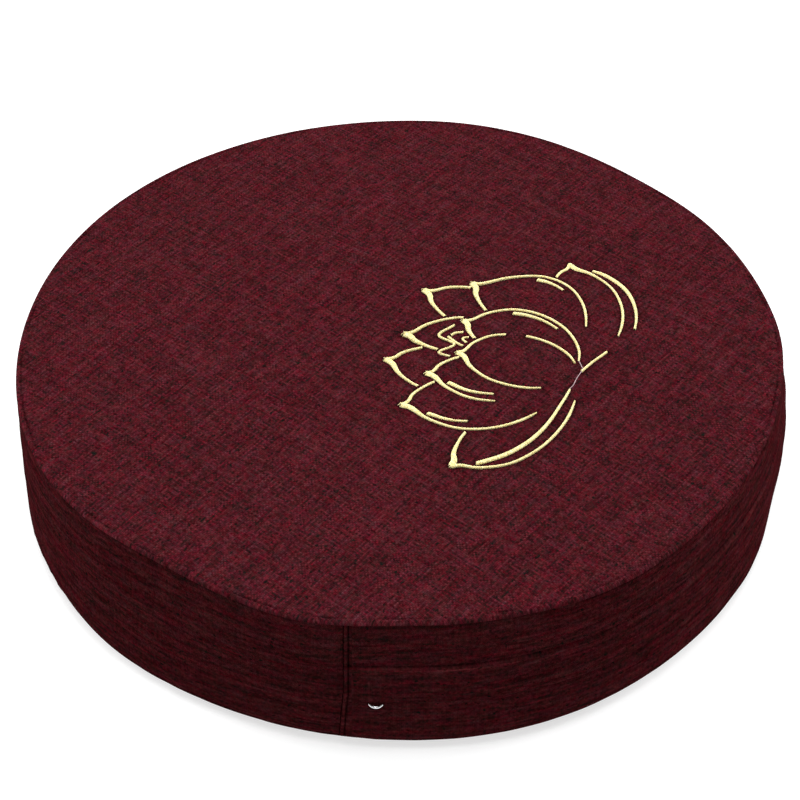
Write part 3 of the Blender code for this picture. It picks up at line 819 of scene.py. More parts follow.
# top cover
topCover = {
    "cloth": 0.0012,
    "rimRoll": 0.00032,  # the turned seam allowance lifts the rim
    "rollMiddle": 0.0012,  # in from the edge
    "rollSpread": 0.0010,
    "rollShare": (0.75, 0.25),  # always there, and now and then
    "rolls": 60,
    "stitchLine": 0.0030,  # groove of the seam's stitches, in from the edge
    "stitchDepth": 0.00060,
    "stitchSpread": 0.00060,
    "stitchPitch": 0.0030,
    "stitchShare": (0.75, 0.25),
    "grooveShows": (0.45, 0.85),  # the groove comes and goes
    "grooveBreaks": 90,
    # painted shade in the seam's groove, and painted highlight on the turned edge, strongest towards the
    # light
    "grooveShade": 0.75,
    "edgeHighlight": 0.45,
    "lightAngle": 195.0,
    "lightAt": 0.0004,
    "lightSpread": 0.0006,
    "lightShare": (0.4, 0.6, 0.5),  # all round, towards the light's side, and now and then
    "lightBreaks": 50,
    "pucker": 0.00010,
    "puckerReach": 0.0070,
    "puckers": 110,
    "puckerEdge": 0.0020,
    "softRelief": 0.00045,
    "softSize": 0.050,
    "fineRelief": 0.00012,
    "fineSize": 0.014,
    "reliefEdge": 0.020,  # the relief fades out towards the rim
    "rimPoints": 1440,
    "closeRows": (0.0060, 0.0005),  # rows of points in from the edge: up to where, and how far apart
    "wideRows": (0.0125, 0.0012),
    "firstStep": 0.0018,
    "innerPitch": 0.0026,  # and from ring to ring further in
    "innermost": 0.0040,
    "halveAt": 0.98,  # how crowded the points are before a ring has half as many
    "fewest": 24,
    "shoulderTurns": (72, 54, 36, 18, 0),
    "innerTurns": (90, 45, 0),
    "drawnStep": 0.0005,  # the cloth beside the stitches is drawn down, and painted shade lies on it
    "drawnReach": 0.0018,
    "drawnFade": 0.0009,
    "drawnDip": 0.00025,
    "drawnShade": 0.70,
    "drawnCuts": 2,
    "facingUp": (0.5, 0.3),  # least upward tilt of the faces that are split, and of their points
    "flatOver": 0.004,  # the cut piece reaches this far past the seam
}


# How far the top's cloth lies above its even crown
def topRelief(angle, radius):
    edge = form["seamRadius"] - radius
    x, y = radius * np.cos(np.radians(angle)), radius * np.sin(np.radians(angle))
    rise = topCover["softRelief"] * clothNoise(x, y, topCover["softSize"], seed=11)
    rise += topCover["fineRelief"] * clothNoise(x, y, topCover["fineSize"], seed=12)
    rise *= np.clip(edge / topCover["reliefEdge"], 0, 1)
    always, atTimes = topCover["rollShare"]
    rollShare = always + atTimes * ringNoise(angle, topCover["rolls"], seed=13)
    rise += topCover["rimRoll"] * rollShare * hump(edge, topCover["rollMiddle"], topCover["rollSpread"])
    rise -= topCover["stitchDepth"] * rimGroove(angle, edge)
    pucker = ringNoise(angle, topCover["puckers"], seed=15) * np.exp(-edge / topCover["puckerReach"])
    rise += topCover["pucker"] * pucker * np.clip(edge / topCover["puckerEdge"], 0, 1)
    return rise


# How deep the groove of the rim's seam is, from 0 to 1
def rimGroove(angle, edge):
    always, atTimes = topCover["grooveShows"]
    showing = np.clip(always + atTimes * ringNoise(angle, topCover["grooveBreaks"], seed=14), 0.0, 1.0)
    steady, pulled = topCover["stitchShare"]
    stitches = steady + pulled * np.cos(arcLength(angle) / topCover["stitchPitch"] * 2 * math.pi)
    return showing * stitches * hump(edge, topCover["stitchLine"], topCover["stitchSpread"])


# Painted shade in the broken groove of the rim's seam, painted highlight on its turned edge
def topPaintedShade(angle, radius, height):
    edge = form["seamRadius"] - radius
    onTop = height > form["seamHeight"]
    always, facing, atTimes = topCover["lightShare"]
    share = always + facing * np.cos(np.radians(angle - topCover["lightAngle"]))
    share = share + atTimes * ringNoise(angle, topCover["lightBreaks"], seed=16)
    light = hump(edge, topCover["lightAt"], topCover["lightSpread"]) * np.clip(share, 0, 1)
    dark = topCover["grooveShade"] * rimGroove(angle, edge)
    return np.where(onTop, dark - topCover["edgeHighlight"] * light, 0.0)


# Splits the cloth beside the lotus lines finer, draws it down, and tells how much painted shade lies at each
# point
def drawIn(piece):
    spots, halves = [], []
    for run in lotusRuns.values():
        line = resampled(run, topCover["drawnStep"])
        spots.extend(ontoTop(line[:, :2]) - middle)
        halves.extend(line[:, 2] / 2)
    tree = KDTree(len(spots))
    for number, spot in enumerate(spots):
        tree.insert((*spot, 0.0), number)
    tree.balance()

    def away(point):
        _, number, distance = tree.find((point.x, point.y, 0.0))
        return distance - halves[number]

    faceTilt, pointTilt = topCover["facingUp"]
    work = bmesh.new()
    work.from_mesh(piece.data)
    near = [face for face in work.faces
            if face.normal.z > faceTilt and away(face.calc_center_median()) < topCover["drawnReach"]]
    edges = dict.fromkeys(edge for face in near for edge in face.edges)  # in the same order each run
    bmesh.ops.subdivide_edges(work, edges=list(edges), cuts=topCover["drawnCuts"], use_grid_fill=True)
    work.normal_update()
    share = np.zeros(len(work.verts))
    for number, point in enumerate(work.verts):
        if point.normal.z > pointTilt:
            share[number] = math.exp(-max(away(point.co), 0.0) / topCover["drawnFade"])
            point.co.z -= topCover["drawnDip"] * share[number]
    work.to_mesh(piece.data)
    work.free()
    return topCover["drawnShade"] * share


def makeTopCover():
    flat = form["seamRadius"] - form["shoulder"]
    rim = topCover["rimPoints"]
    # inward from the flat's edge: close rows at the rim, wider ones further in
    (close, closePitch), (wide, widePitch) = topCover["closeRows"], topCover["wideRows"]
    radii = list(flat - np.concatenate((np.arange(0, close, closePitch), np.arange(close, wide, widePitch))))
    plan = [(radius, rim) for radius in radii]
    radius, count = radii[-1] - topCover["firstStep"], rim // 2
    while radius > topCover["innermost"]:
        plan.append((radius, count))
        radius -= topCover["innerPitch"]
        if radius < flat * count / rim * topCover["halveAt"] and count > topCover["fewest"]:
            count //= 2
    plan.sort()
    counts = [count for _, count in plan]
    rings = flatRings(plan, topHeight)
    for ring, (radius, count) in zip(rings, plan):
        ring[:, 2] += topRelief(evenAngles(count), np.full(count, radius))
    angle = evenAngles(rim)
    for turn in np.radians(topCover["shoulderTurns"]):
        across = flat + form["shoulder"] * math.cos(turn)
        ring = onCushion(angle, across, form["seamHeight"] + form["shoulder"] * math.sin(turn))
        ring[:, 2] += topRelief(angle, np.full(len(angle), across)) * math.sin(turn)
        rings.append(ring)
        counts.append(rim)
    depth = topCover["cloth"]
    inner = flatRings(innerRings, lambda radius: topHeight(radius) - depth)
    innerCounts = [count for _, count in innerRings]
    bend = form["shoulder"] - depth
    for turn in np.radians(topCover["innerTurns"]):
        across = flat + bend * math.cos(turn)
        inner.append(onCushion(angle, across, form["seamHeight"] + bend * math.sin(turn)))
        innerCounts.append(rim)
    piece = closedCover("top_cover", rings, counts, inner, innerCounts, topCloth)
    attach(piece, "root")
    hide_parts("top_panel")
    keepPaintedShade(piece, topPaintedShade, drawIn(piece))
    across = 2 * (form["seamRadius"] + topCover["flatOver"])
    print("top cover:", len(piece.data.polygons), "faces")


# base cover
baseCover = {
    "cloth": 0.0012,
    "rimPoints": 720,
    "pucker": 0.0002,
    "puckers": 200,
    "rings": ((0.006, 45), (0.016, 45), (0.026, 90), (0.04, 90), (0.055, 180), (0.07, 180), (0.085, 180)),
    "middleRings": (0.1, 0.17, 0.01, 360),  # from, to, apart, number of points
    "outerRings": (0.175, 0.2185, 0.004, 720),
    "turnSteps": 10,  # rows where the rim is turned up, outside and inside
    "innerTurnSteps": 4,
    "flatOver": 0.008,
}


def makeBaseCover():
    seam = float(wallRadius(form["baseSeam"]))
    reach = seam - form["baseFlat"]
    rim = baseCover["rimPoints"]
    outerPlan = list(baseCover["rings"])
    for first, last, apart, count in (baseCover["middleRings"], baseCover["outerRings"]):
        outerPlan += [(radius, count) for radius in np.arange(first, last, apart)]

    def rings(depth, plan, turnSteps, pucker):
        made = flatRings(plan, lambda radius: depth)
        angle = evenAngles(rim)
        for turn in np.radians(np.linspace(0, 90, turnSteps)):
            across = form["baseFlat"] + (reach - depth) * math.sin(turn)
            height = depth + (form["baseSeam"] - depth) * (1 - math.cos(turn))
            ripple = pucker * ringNoise(angle, baseCover["puckers"], seed=31)
            made.append(onCushion(angle, across + ripple * math.sin(turn) * math.sin(2 * turn), height))
        return made, [count for _, count in plan] + [rim] * turnSteps

    outer, outerCounts = rings(0.0, outerPlan, baseCover["turnSteps"], baseCover["pucker"])
    inner, innerCounts = rings(baseCover["cloth"], innerRings, baseCover["innerTurnSteps"], 0.0)
    piece = closedCover("base_cover", inner, innerCounts, outer, outerCounts, baseCloth)
    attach(piece, "root")
    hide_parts("base_panel")
    print("base cover:", len(piece.data.polygons), "faces")


# the filled pad
pad = {
    "voxel": 0.006,
    "start": 0.985,  # it swells, so it starts smaller
    "pressure": 4.0,
    "quality": 5,
    "frames": 20,
    "cap": 0.006,  # the farthest that a point may move
    "follow": 0.0006,  # the most that the swelling may change the band
    "columns": 960,
    "rows": 72,
    "pucker": 0.00024,
    "puckers": 190,
    "puckerReach": 0.0085,
    "soft": 0.00016,
    "drag": 0.00030,
    "panel": 0.0016,
    "followFrom": 0.012,  # heights between which the band follows the swollen form
    "followTo": 0.080,
    "off": (-0.0012, 0.0008),  # the farthest that the band may lie in and out of its even wall
    "edgeRows": (0.0004, 0.0008),  # rows close to each seam
    "pocketStep": 0.02,  # degrees over which the zip's pocket starts
    "topTurns": (90, 30),
    "topRings": (0.06, 0.12, 0.18),
    "baseTurns": (90, 60, 30, 0),
    "baseRings": (0.15, 0.08),
    # the band's puckers and folds
    "lesser": 0.7,
    "longTurn": 60,  # degrees for each metre by which the longer puckers lean
    "longReach": 0.030,
    "softSize": 0.022,
    "softEdge": 0.010,
    "dragPull": 8,  # drag folds are this much longer round the band
    "dragLean": 0.5,
    "dragSize": 0.0068,
    "dragEdge": 0.012,
    "seamEdge": 0.0012,
}


def stray(height):
    share = np.maximum(0.0, 1 - height / zipPart["plumb"])
    return -zipPart["stray"] * share ** zipPart["bend"]


# The filling swells by cloth simulation; the swollen form is what the band then follows
def swollenPad():
    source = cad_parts["filled_cushion"]
    work = bpy.data.objects.new("swelling", source.data.copy())
    bpy.context.scene.collection.objects.link(work)
    half = (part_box("filled_cushion")[0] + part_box("filled_cushion")[1]) / 2
    shrink = Matrix.Translation(half) @ Matrix.Scale(pad["start"], 4) @ Matrix.Translation(-half)
    work.data.transform(shrink)
    remesh = work.modifiers.new("remesh", "REMESH")
    remesh.mode = "VOXEL"
    remesh.voxel_size = pad["voxel"]
    even = bpy.data.meshes.new_from_object(work.evaluated_get(bpy.context.evaluated_depsgraph_get()))
    work.modifiers.clear()
    work.data = even
    start = np.array([tuple(point.co) for point in even.vertices])
    swell = work.modifiers.new("cloth", "CLOTH")
    swell.settings.use_pressure = True
    swell.settings.uniform_pressure_force = pad["pressure"]
    swell.settings.effector_weights.gravity = 0
    swell.settings.quality = pad["quality"]
    swell.point_cache.frame_start, swell.point_cache.frame_end = 1, pad["frames"]
    for step in range(1, pad["frames"] + 1):
        bpy.context.scene.frame_set(step)
    done = work.evaluated_get(bpy.context.evaluated_depsgraph_get()).to_mesh()
    moved = np.array([tuple(point.co) for point in done.vertices]) - start
    bpy.context.scene.frame_set(1)
    work.modifiers.clear()
    length = np.linalg.norm(moved, axis=1, keepdims=True)
    moved *= np.minimum(1.0, pad["cap"] / np.maximum(length, 1e-9))
    form3d = BVHTree.FromPolygons([tuple(point) for point in start + moved],
                                  [tuple(face.vertices) for face in even.polygons])
    bpy.data.objects.remove(work)
    print("pad swollen:", len(start), "points, up to", round(float(length.max()) * 1000, 1), "mm")
    return form3d


# How far the swollen form stands off the band, evened out and capped
def followed(form3d, angle, height, points):
    off = np.zeros(angle.shape)
    for spot in np.ndindex(angle.shape):
        x, y, z = points[spot]
        z = min(max(z, pad["followFrom"]), pad["followTo"])
        way = Vector((x + middle[0], y + middle[1], 0)).normalized()
        hit = form3d.ray_cast(Vector((-middle[0], -middle[1], z)), way)[0]
        if hit:
            off[spot] = Vector((hit.x + middle[0], hit.y + middle[1], 0)).length
    reach = np.hypot(points[..., 0] + middle[0], points[..., 1] + middle[1])
    off = off - reach
    off -= off.mean(axis=1, keepdims=True)
    return np.clip(off, -pad["follow"], pad["follow"])


# Puckers that hang from the top seam, fade downwards, and rise from the base
def bandRelief(angle, height):
    below = np.maximum(form["seamHeight"] - height, 0.0)
    above = np.maximum(height - form["baseSeam"], 0.0)
    hanging = ringNoise(angle, pad["puckers"], seed=21) * np.exp(-below / pad["puckerReach"])
    longer = ringNoise(angle + below * pad["longTurn"], pad["puckers"] // 4, seed=22)
    longer = longer * np.exp(-below / pad["longReach"])
    rising = ringNoise(angle, pad["puckers"] // 2, seed=23) * np.exp(-above / pad["puckerReach"])
    along = arcLength(angle)
    soft = clothNoise(along, height, pad["softSize"], seed=24) * np.clip(below / pad["softEdge"], 0, 1)
    drag = clothNoise(along / pad["dragPull"] + height * pad["dragLean"], height, pad["dragSize"], seed=25)
    drag = drag * np.clip(below / pad["dragEdge"], 0, 1)
    edge = np.clip(below / pad["seamEdge"], 0, 1) * np.clip(above / pad["seamEdge"], 0, 1)
    relief = pad["pucker"] * (hanging + pad["lesser"] * longer + pad["lesser"] * rising)
    relief = relief + pad["soft"] * soft + pad["drag"] * drag
    return relief * edge


def makePad():
    low, high = form["baseSeam"] + form["gap"], form["seamHeight"] - form["gap"]
    rows = high - (high - low) * (np.arange(pad["rows"] + 1) / pad["rows"])
    close = np.array(pad["edgeRows"])
    rows = np.unique(np.concatenate((rows, high - close, low + close)))[::-1]
    start, stop = zipPart["start"], zipPart["start"] + zipPart["span"] - 360
    away = pad["pocketStep"]
    ends = (start - away, start + away, stop - away, stop + away)
    columns = np.unique(np.concatenate((evenAngles(pad["columns"]), ends)))
    angle, height = np.meshgrid(columns, rows)
    inPocket = (angle - start) % 360 < zipPart["span"]
    radius = wallRadius(height) + np.where(inPocket, -zipPart["pocket"], 0.0)
    sheared = angle + stray(height)
    points = onCushion(sheared, radius, height)
    off = bandRelief(angle, height)
    off = off + followed(swollenPad(), angle, height, points)
    plain = np.where(inPocket, 0.0, np.clip(off, *pad["off"]))
    points = onCushion(sheared, radius + plain, height)
    inset = pad["panel"] + form["gap"]
    count = len(columns)
    skins = list(points)
    flat = form["seamRadius"] - form["shoulder"]
    topRim = [onCushion(columns, flat + (form["shoulder"] - inset) * math.cos(turn),
                        form["seamHeight"] + (form["shoulder"] - inset) * math.sin(turn))
              for turn in np.radians(pad["topTurns"])]
    topRim.append(onCushion(columns, form["seamRadius"] - inset, high))
    topFlat = [onCushion(columns, radius, topHeight(radius) - inset) for radius in pad["topRings"]]
    seam = float(wallRadius(form["baseSeam"]))
    reach = seam - form["baseFlat"] - inset
    baseRim = []
    for turn in np.radians(pad["baseTurns"]):
        height = inset + (form["baseSeam"] - inset) * (1 - math.cos(turn)) + form["gap"] * math.sin(turn)
        baseRim.append(onCushion(columns, form["baseFlat"] + reach * math.sin(turn), height))
    baseFlat = [onCushion(columns, radius, inset) for radius in pad["baseRings"]]
    loops = topFlat + topRim + skins + baseRim + baseFlat
    middles = [onCushion(0.0, 0.0, height)[None] for height in (topHeight(0.0) - inset, inset)]
    points = np.vstack(loops + middles)
    faces = []
    for loop in range(len(loops) - 1):
        a, b = loop * count, (loop + 1) * count
        for k in range(count):
            n = (k + 1) % count
            faces.append((a + k, b + k, b + n, a + n))
    topMiddle, baseMiddle, last = len(points) - 2, len(points) - 1, (len(loops) - 1) * count
    for k in range(count):
        n = (k + 1) % count
        faces.append((topMiddle, k, n))
        faces.append((baseMiddle, last + n, last + k))
    piece = pieceFrom("cushion_pad", points, faces, bandCloth)
    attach(piece, "root")
    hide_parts("filled_cushion")
    print("cushion pad:", len(piece.data.polygons), "faces")


# the zip's flap and the strip under it
flap = {
    "columns": 640,
    "rowPitch": 0.0008,
    "lastRow": 0.0002,  # above the free edge
    "stitchPitch": 0.0032,
    "stitchDip": 0.00035,
    "stitchWide": 0.0008,
    "ripple": 0.00025,
    "ripples": 70,
    "rippleReach": 0.012,
    # height, and how far the flap's outer face stands off the wall there
    "face": (
        (flapEdge, 0.0006),
        (flapEdge + 0.0008, 0.0010),
        (flapEdge + 0.011, 0.0009),
        (stitchHeight - 0.0045, 0.0006),
        (stitchHeight - 0.0018, 0.0010),
        (stitchHeight, -0.0003),
        (stitchHeight + 0.0018, 0.0001),
        (form["seamHeight"], 0.0),
    ),
    # and its inner face, from the top seam down to the folded edge
    "behind": (
        (form["seamHeight"] - form["gap"], -0.0016),
        (stitchHeight, -0.0017),
        (flapEdge + 0.0105, -0.0016),
        (flapEdge + 0.0085, -0.0003),
        (flapEdge + 0.004, -0.0003),
        (flapEdge + 0.0004, -0.0002),
    ),
    "behindRipple": 0.6,  # of the outer ripple, up to a height over the free edge
    "behindReach": 0.006,
    "flat": (0.060, 0.056),  # cut width with its seam allowance, and the width that its area has
    "lengthOver": 0.010,
}
strip = {
    "tuck": 0.0075,  # the strip reaches this far up behind the flap
    "rowPitch": 0.0012,
    "face": ((form["baseSeam"], 0.0), (flapEdge - 0.0035, 0.0), (flapEdge + 0.0005, -0.0006)),
    "inner": -0.0017,
    "ridgeBelow": 0.001,  # the join's ridge and the folds start this far under the flap's edge
    "foldsBelow": 0.002,
    "flat": (0.045, 0.042),
}
join = {
    "columns": (1.2, 10),  # the ridge's columns: up to where, in its widths, and how many
    "nextColumn": 1.35,
    "dip": 0.0005,  # the cloth is drawn in just past the ridge
    "dipAt": 1.15,
    "dipSpread": 0.16,
    # painted shade where the cloth dips past the ridge, and painted highlight on the ridge
    "dark": 0.75,
    "darkSpread": 0.20,
    "light": 0.25,
    "lightAt": 0.55,
    "lightSpread": 0.3,
}
# painted shade along the topstitching, painted highlight just below it, and painted shadow at the flap's free
# edge: share, height from its line, spread
seamShading = {
    "stitch": (0.45, 0.0004, 0.0009),
    "raised": (0.45, -0.0024, 0.0013),
    "fade": (0.45, 0.55),  # the stitching shows more or less
    "fades": 34,
    "clear": 22.0,  # degrees from the join within which it shows well
    "onFlap": 0.0002,
    # painted shadow at and under the flap's free edge
    "edge": 0.35,
    "edgeReach": 0.0012,
    "edgeShows": (0.5, 0.6),
    "edgeBreaks": 40,
}


def degreesWide(width):
    return math.degrees(width / form["seamRadius"])


# Place across the join's ridge, from 0 at its groove to 1 at its far side
def acrossJoin(angle):
    return (angle - zipPart["start"] - degreesWide(zipPart["groove"])) / degreesWide(zipPart["weltWidth"])


def zipAngles(count):
    groove, welt = degreesWide(zipPart["groove"]), degreesWide(zipPart["weltWidth"])
    start = zipPart["start"] + groove
    stop = zipPart["start"] + zipPart["span"] - groove
    last, columns = join["columns"]
    ridge = start + welt * np.linspace(0, last, columns)
    return np.concatenate((ridge, np.linspace(start + welt * join["nextColumn"], stop, count)))


# The turned edge beside the join seam stands up as a narrow ridge
def weltAt(angle):
    into = acrossJoin(angle)
    ridge = np.where((into > 0) & (into < 1), np.sin(math.pi * np.clip(into, 0, 1)), 0.0)
    return zipPart["weltRise"] * ridge - join["dip"] * hump(into, join["dipAt"], join["dipSpread"])


def zipSkin(angles, rows, off):
    angle, height = np.meshgrid(angles, rows)
    return onCushion(angle + stray(height), wallRadius(height) + off(angle, height), height)


def rippleAt(angle):
    return flap["ripple"] * ringNoise(angle, flap["ripples"], seed=41)


# Outer face of the flap, off the wall
def flapFace(angle, height):
    heights, steps = zip(*flap["face"])
    off = np.interp(height, heights, steps)
    stitch = 0.5 + 0.5 * np.cos(arcLength(angle) / flap["stitchPitch"] * 2 * math.pi)
    off = off - flap["stitchDip"] * stitch * hump(height, stitchHeight, flap["stitchWide"])
    off = off + rippleAt(angle) * np.exp(-np.maximum(height - flapEdge, 0) / flap["rippleReach"])
    return off + bandRelief(angle, height) + weltAt(angle)


def flapBehind(angle, height):
    heights, steps = zip(*flap["behind"][::-1])
    ripple = flap["behindRipple"] * rippleAt(angle) * (height < flapEdge + flap["behindReach"])
    return np.interp(height, heights, steps) + ripple


# Painted shade beside the join's ridge, along the topstitching and at the flap's free edge; painted highlight
# on the ridge and just below the stitching
def zipPaintedShade(angle, radius, height):
    into = acrossJoin(angle - stray(height))
    dark = join["dark"] * hump(into, join["dipAt"], join["darkSpread"])
    dark = dark - join["light"] * hump(into, join["lightAt"], join["lightSpread"])
    always, atTimes = seamShading["fade"]
    fade = always + atTimes * ringNoise(angle, seamShading["fades"], seed=42)
    fade = np.clip(fade + hump(angle, zipPart["start"], seamShading["clear"]), 0.0, 1.0)
    rows = (seamShading["stitch"], seamShading["raised"])
    stitched, raised = (share * hump(height, stitchHeight + off, spread) for share, off, spread in rows)
    dark = dark + np.where(height > flapEdge - seamShading["onFlap"], fade * (stitched - raised), 0.0)
    always, atTimes = seamShading["edgeShows"]
    shows = np.clip(always + atTimes * ringNoise(angle, seamShading["edgeBreaks"], seed=43), 0, 1)
    return dark + seamShading["edge"] * np.exp(-np.abs(height - flapEdge) / seamShading["edgeReach"]) * shows


def makeFlap():
    angles = zipAngles(flap["columns"])
    rows = np.arange(form["seamHeight"] - form["gap"], flapEdge, -flap["rowPitch"])
    rows = np.append(rows, (flapEdge + flap["lastRow"], flapEdge))
    outer = zipSkin(angles, rows, flapFace)
    inner = zipSkin(angles, [height for height, _ in flap["behind"]], flapBehind)
    piece = closedStrip("zip_flap", outer, inner, bandCloth)
    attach(piece, "root")
    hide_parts("zip_strip_upper")
    keepPaintedShade(piece, zipPaintedShade)
    span = arcLength(zipPart["span"])
    wide, shown = flap["flat"]
    print("zip flap:", len(piece.data.polygons), "faces")


def underFace(angle, height):
    heights, steps = zip(*strip["face"])
    off = np.interp(height, heights, steps)
    ridge = weltAt(angle) * (height < flapEdge - strip["ridgeBelow"])
    return off + bandRelief(angle, height) * (height < flapEdge - strip["foldsBelow"]) + ridge


def makeUnderStrip():
    angles = zipAngles(flap["columns"])
    rows = np.arange(flapEdge + strip["tuck"], form["baseSeam"] + form["gap"], -strip["rowPitch"])
    rows = np.append(rows, form["baseSeam"] + form["gap"])
    outer = zipSkin(angles, rows, underFace)
    few = rows[[0, len(rows) // 2, -1]]
    inner = zipSkin(angles, few, lambda angle, height: np.full_like(angle, strip["inner"]))
    piece = closedStrip("zip_under_strip", outer, inner, bandCloth)
    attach(piece, "root")
    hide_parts("zip_strip_lower")
    keepPaintedShade(piece, zipPaintedShade)
    span = arcLength(zipPart["span"])
    wide, shown = strip["flat"]
    print("strip under the flap:", len(piece.data.polygons), "faces")


# threads


# A round thread along points, with its own radius at each: points and faces
def threadRun(points, radii, sides=6):
    points = np.asarray(points, dtype=float)
    along = np.gradient(points, axis=0)
    along /= np.maximum(np.linalg.norm(along, axis=1, keepdims=True), 1e-9)
    up = np.array((0.0, 0.0, 1.0))
    side = np.cross(along, up)
    short = np.linalg.norm(side, axis=1) < 1e-3
    side[short] = (1.0, 0.0, 0.0)
    side /= np.linalg.norm(side, axis=1, keepdims=True)
    lift = np.cross(side, along)
    turns = np.arange(sides) * 2 * math.pi / sides
    ring = side[:, None] * np.cos(turns)[None, :, None] + lift[:, None] * np.sin(turns)[None, :, None]
    skin = points[:, None] + ring * np.asarray(radii).reshape(-1, 1, 1)
    faces = []
    for step in range(len(points) - 1):
        for k in range(sides):
            n = (k + 1) % sides
            a, b = step * sides, (step + 1) * sides
            faces.append((a + k, a + n, b + n, b + k))
    faces.append(tuple(range(sides))[::-1])
    faces.append(tuple((len(points) - 1) * sides + k for k in range(sides)))
    return skin.reshape(-1, 3), faces


def joinedThreads(name, runs, finish):
    points, faces, count = [], [], 0
    for skin, parts in runs:
        points.append(skin)
        faces += [tuple(count + k for k in face) for face in parts]
        count += len(skin)
    return pieceFrom(name, np.vstack(points), faces, finish, smoothAngle=80)


stitching = {
    "pitch": 0.00040,  # from thread to thread along a line
    "thread": 0.00025,  # radius
    "slant": 0.35,  # share of its half width that a stitch leans by
    "rise": 0.00075,
    "jitter": 0.00007,
    # one stitch from side to side: place across, height and thickness as shares
    "across": (-1.0, -0.82, -0.45, 0.0, 0.45, 0.82, 1.0),
    "arch": (-0.9, 0.35, 0.85, 1.0, 0.85, 0.35, -0.9),
    "taper": (0.7, 0.95, 1.0, 1.0, 1.0, 0.95, 0.7),
    "sides": 5,
    "inset": 0.6,  # threads that the stitches stay inside the line's edge
    "leastHalf": 0.0003,
    "fullHalf": 0.0012,  # half width from which a stitch has its full rise
    "riseShare": (0.75, 0.25),
    "firstSeed": 100,
}


# The run as a smooth line with a point at each pitch
def resampled(run, pitch):
    fine = smoothLine(run, 8)
    lengths = np.concatenate(((0.0,), np.cumsum(stepsOf(fine))))
    spots = np.linspace(0, lengths[-1], max(3, round(lengths[-1] / pitch)))
    return np.stack([np.interp(spots, lengths, fine[:, k]) for k in range(3)], axis=1)


# Stitches laid side by side across a line, each arched over it
def satinLine(name, run, seed):
    random = np.random.default_rng(seed)
    line = resampled(run, stitching["pitch"])
    plan = ontoTop(line[:, :2])
    along = np.gradient(plan, axis=0)
    along /= np.hypot(*along.T)[:, None]
    across = np.stack((-along[:, 1], along[:, 0]), axis=1)
    runs = []
    shares, arch = np.array(stitching["across"]), np.array(stitching["arch"])
    radii = stitching["thread"] * np.array(stitching["taper"])
    always, whenWide = stitching["riseShare"]
    for spot, way, aside, width in zip(plan, along, across, line[:, 2]):
        half = max(width / 2 - stitching["thread"] * stitching["inset"], stitching["leastHalf"])
        wander = random.uniform(-1, 1, 4) * stitching["jitter"]
        lean = way * half * stitching["slant"]
        x = spot[0] + shares * (aside[0] * (half + wander[0]) + lean[0]) + way[0] * wander[1]
        y = spot[1] + shares * (aside[1] * (half + wander[0]) + lean[1]) + way[1] * wander[1]
        rise = stitching["rise"] * (always + whenWide * min(half / stitching["fullHalf"], 1.0)) + wander[2]
        z = topHeight(np.hypot(x, y)) + arch * rise
        spots = np.stack((x - middle[0], y - middle[1], z), axis=1)
        runs.append(threadRun(spots, radii, sides=stitching["sides"]))
    piece = joinedThreads(name.replace("lotus_", "stitched_"), runs, goldThread)
    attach(piece, "root")
    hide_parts(name)
    return len(runs)


def makeLotus():
    total = 0
    for seed, (name, run) in enumerate(lotusRuns.items(), start=stitching["firstSeed"]):
        total += satinLine(name, run, seed)
    print("lotus:", total, "stitches in", len(lotusRuns), "lines")


jump = {
    "radius": 0.00028,
    "lift": 0.00055,
    "wander": 0.0006,
    "steps": 14,  # points from one line's end to the next
    "bends": (8, 4),  # bends of the loose thread, and points to each
    "seed": 77,
}


# The loose thread that the machine left between two lines at the flower's foot
def makeJump():
    ends = [lotusRuns["lotus_petal_02a"][-1], lotusRuns["lotus_stalk"][0], lotusRuns["lotus_fold_06a"][0]]
    line = smoothLine([end[:2] for end in ends], jump["steps"])
    random = np.random.default_rng(jump["seed"])
    bends, steps = jump["bends"]
    line[1:-1] += smoothLine(random.uniform(-1, 1, (bends, 2)) * jump["wander"], steps)[:len(line) - 2]
    plan = ontoTop(line)
    height = topHeight(np.hypot(*plan.T)) + jump["lift"]
    spots = np.stack((plan[:, 0] - middle[0], plan[:, 1] - middle[1], height), axis=1)
    thread = threadRun(spots, np.full(len(spots), jump["radius"]))
    piece = joinedThreads("jump_thread", [thread], looseThread)
    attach(piece, "root")
    print("loose thread laid:", len(spots), "points")


# the end of the zip's pull
pull = {
    "angle": 266.6,
    "width": 0.0073,
    "drop": 0.0022,
    "thickness": 0.0014,
    "tip": 0.45,  # its ends are this thin against its middle
    "points": 41,
    "sides": 16,
}


def makePull():
    half = pull["width"] / 2
    bend = (half**2 + pull["drop"] ** 2) / (2 * pull["drop"])
    sweep = math.asin(half / bend)
    lowest = flapEdge - form["gap"] - pull["thickness"] / 2 - pull["drop"]
    turn = sweep * np.linspace(-1, 1, pull["points"])
    height = lowest + bend * (1 - np.cos(turn))
    angle = pull["angle"] + np.degrees(bend * np.sin(turn) / form["seamRadius"])
    spots = onCushion(angle, wallRadius(height) + form["gap"] + pull["thickness"] / 2, height)
    tip = pull["tip"]
    radii = pull["thickness"] / 2 * (tip + (1 - tip) * np.cos(0.5 * math.pi * turn / sweep))
    piece = joinedThreads("zip_pull_end", [threadRun(spots, radii, sides=pull["sides"])], pullMetal)
    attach(piece, "root")
    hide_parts("zip_pull")
    print("zip pull made")


# floor, light and camera
studio = {
    "floor": 0.42,
    "floorGlow": 0.66,  # the floor gives off this much light, so the shadow on it stays faint
    "floorSize": 12.0,
    "floorDrop": 0.0002,  # the floor lies this far under the base
    "world": 0.30,
    # place, what it shines at, width and power of each soft light
    "lights": {
        "overhead light": ((0.0, 0.25, 2.2), (0, 0, 0), 1.8, 67.0),
        "left light": ((-2.0, 0.9, 0.7), (0, 0, 0.05), 1.0, 42.0),
        "right light": ((2.0, 0.9, 0.7), (0, 0, 0.05), 1.0, 44.0),
    },
}
camera = {
    "distance": 1.250,
    "elevation": 42.56,
    "aim": (-0.0046, 0.0, 0.0400),
    "roll": -0.38,
    "focalPixels": 2049.0,
    "imagePixels": 800.0,
    "sensor": 36.0,
}


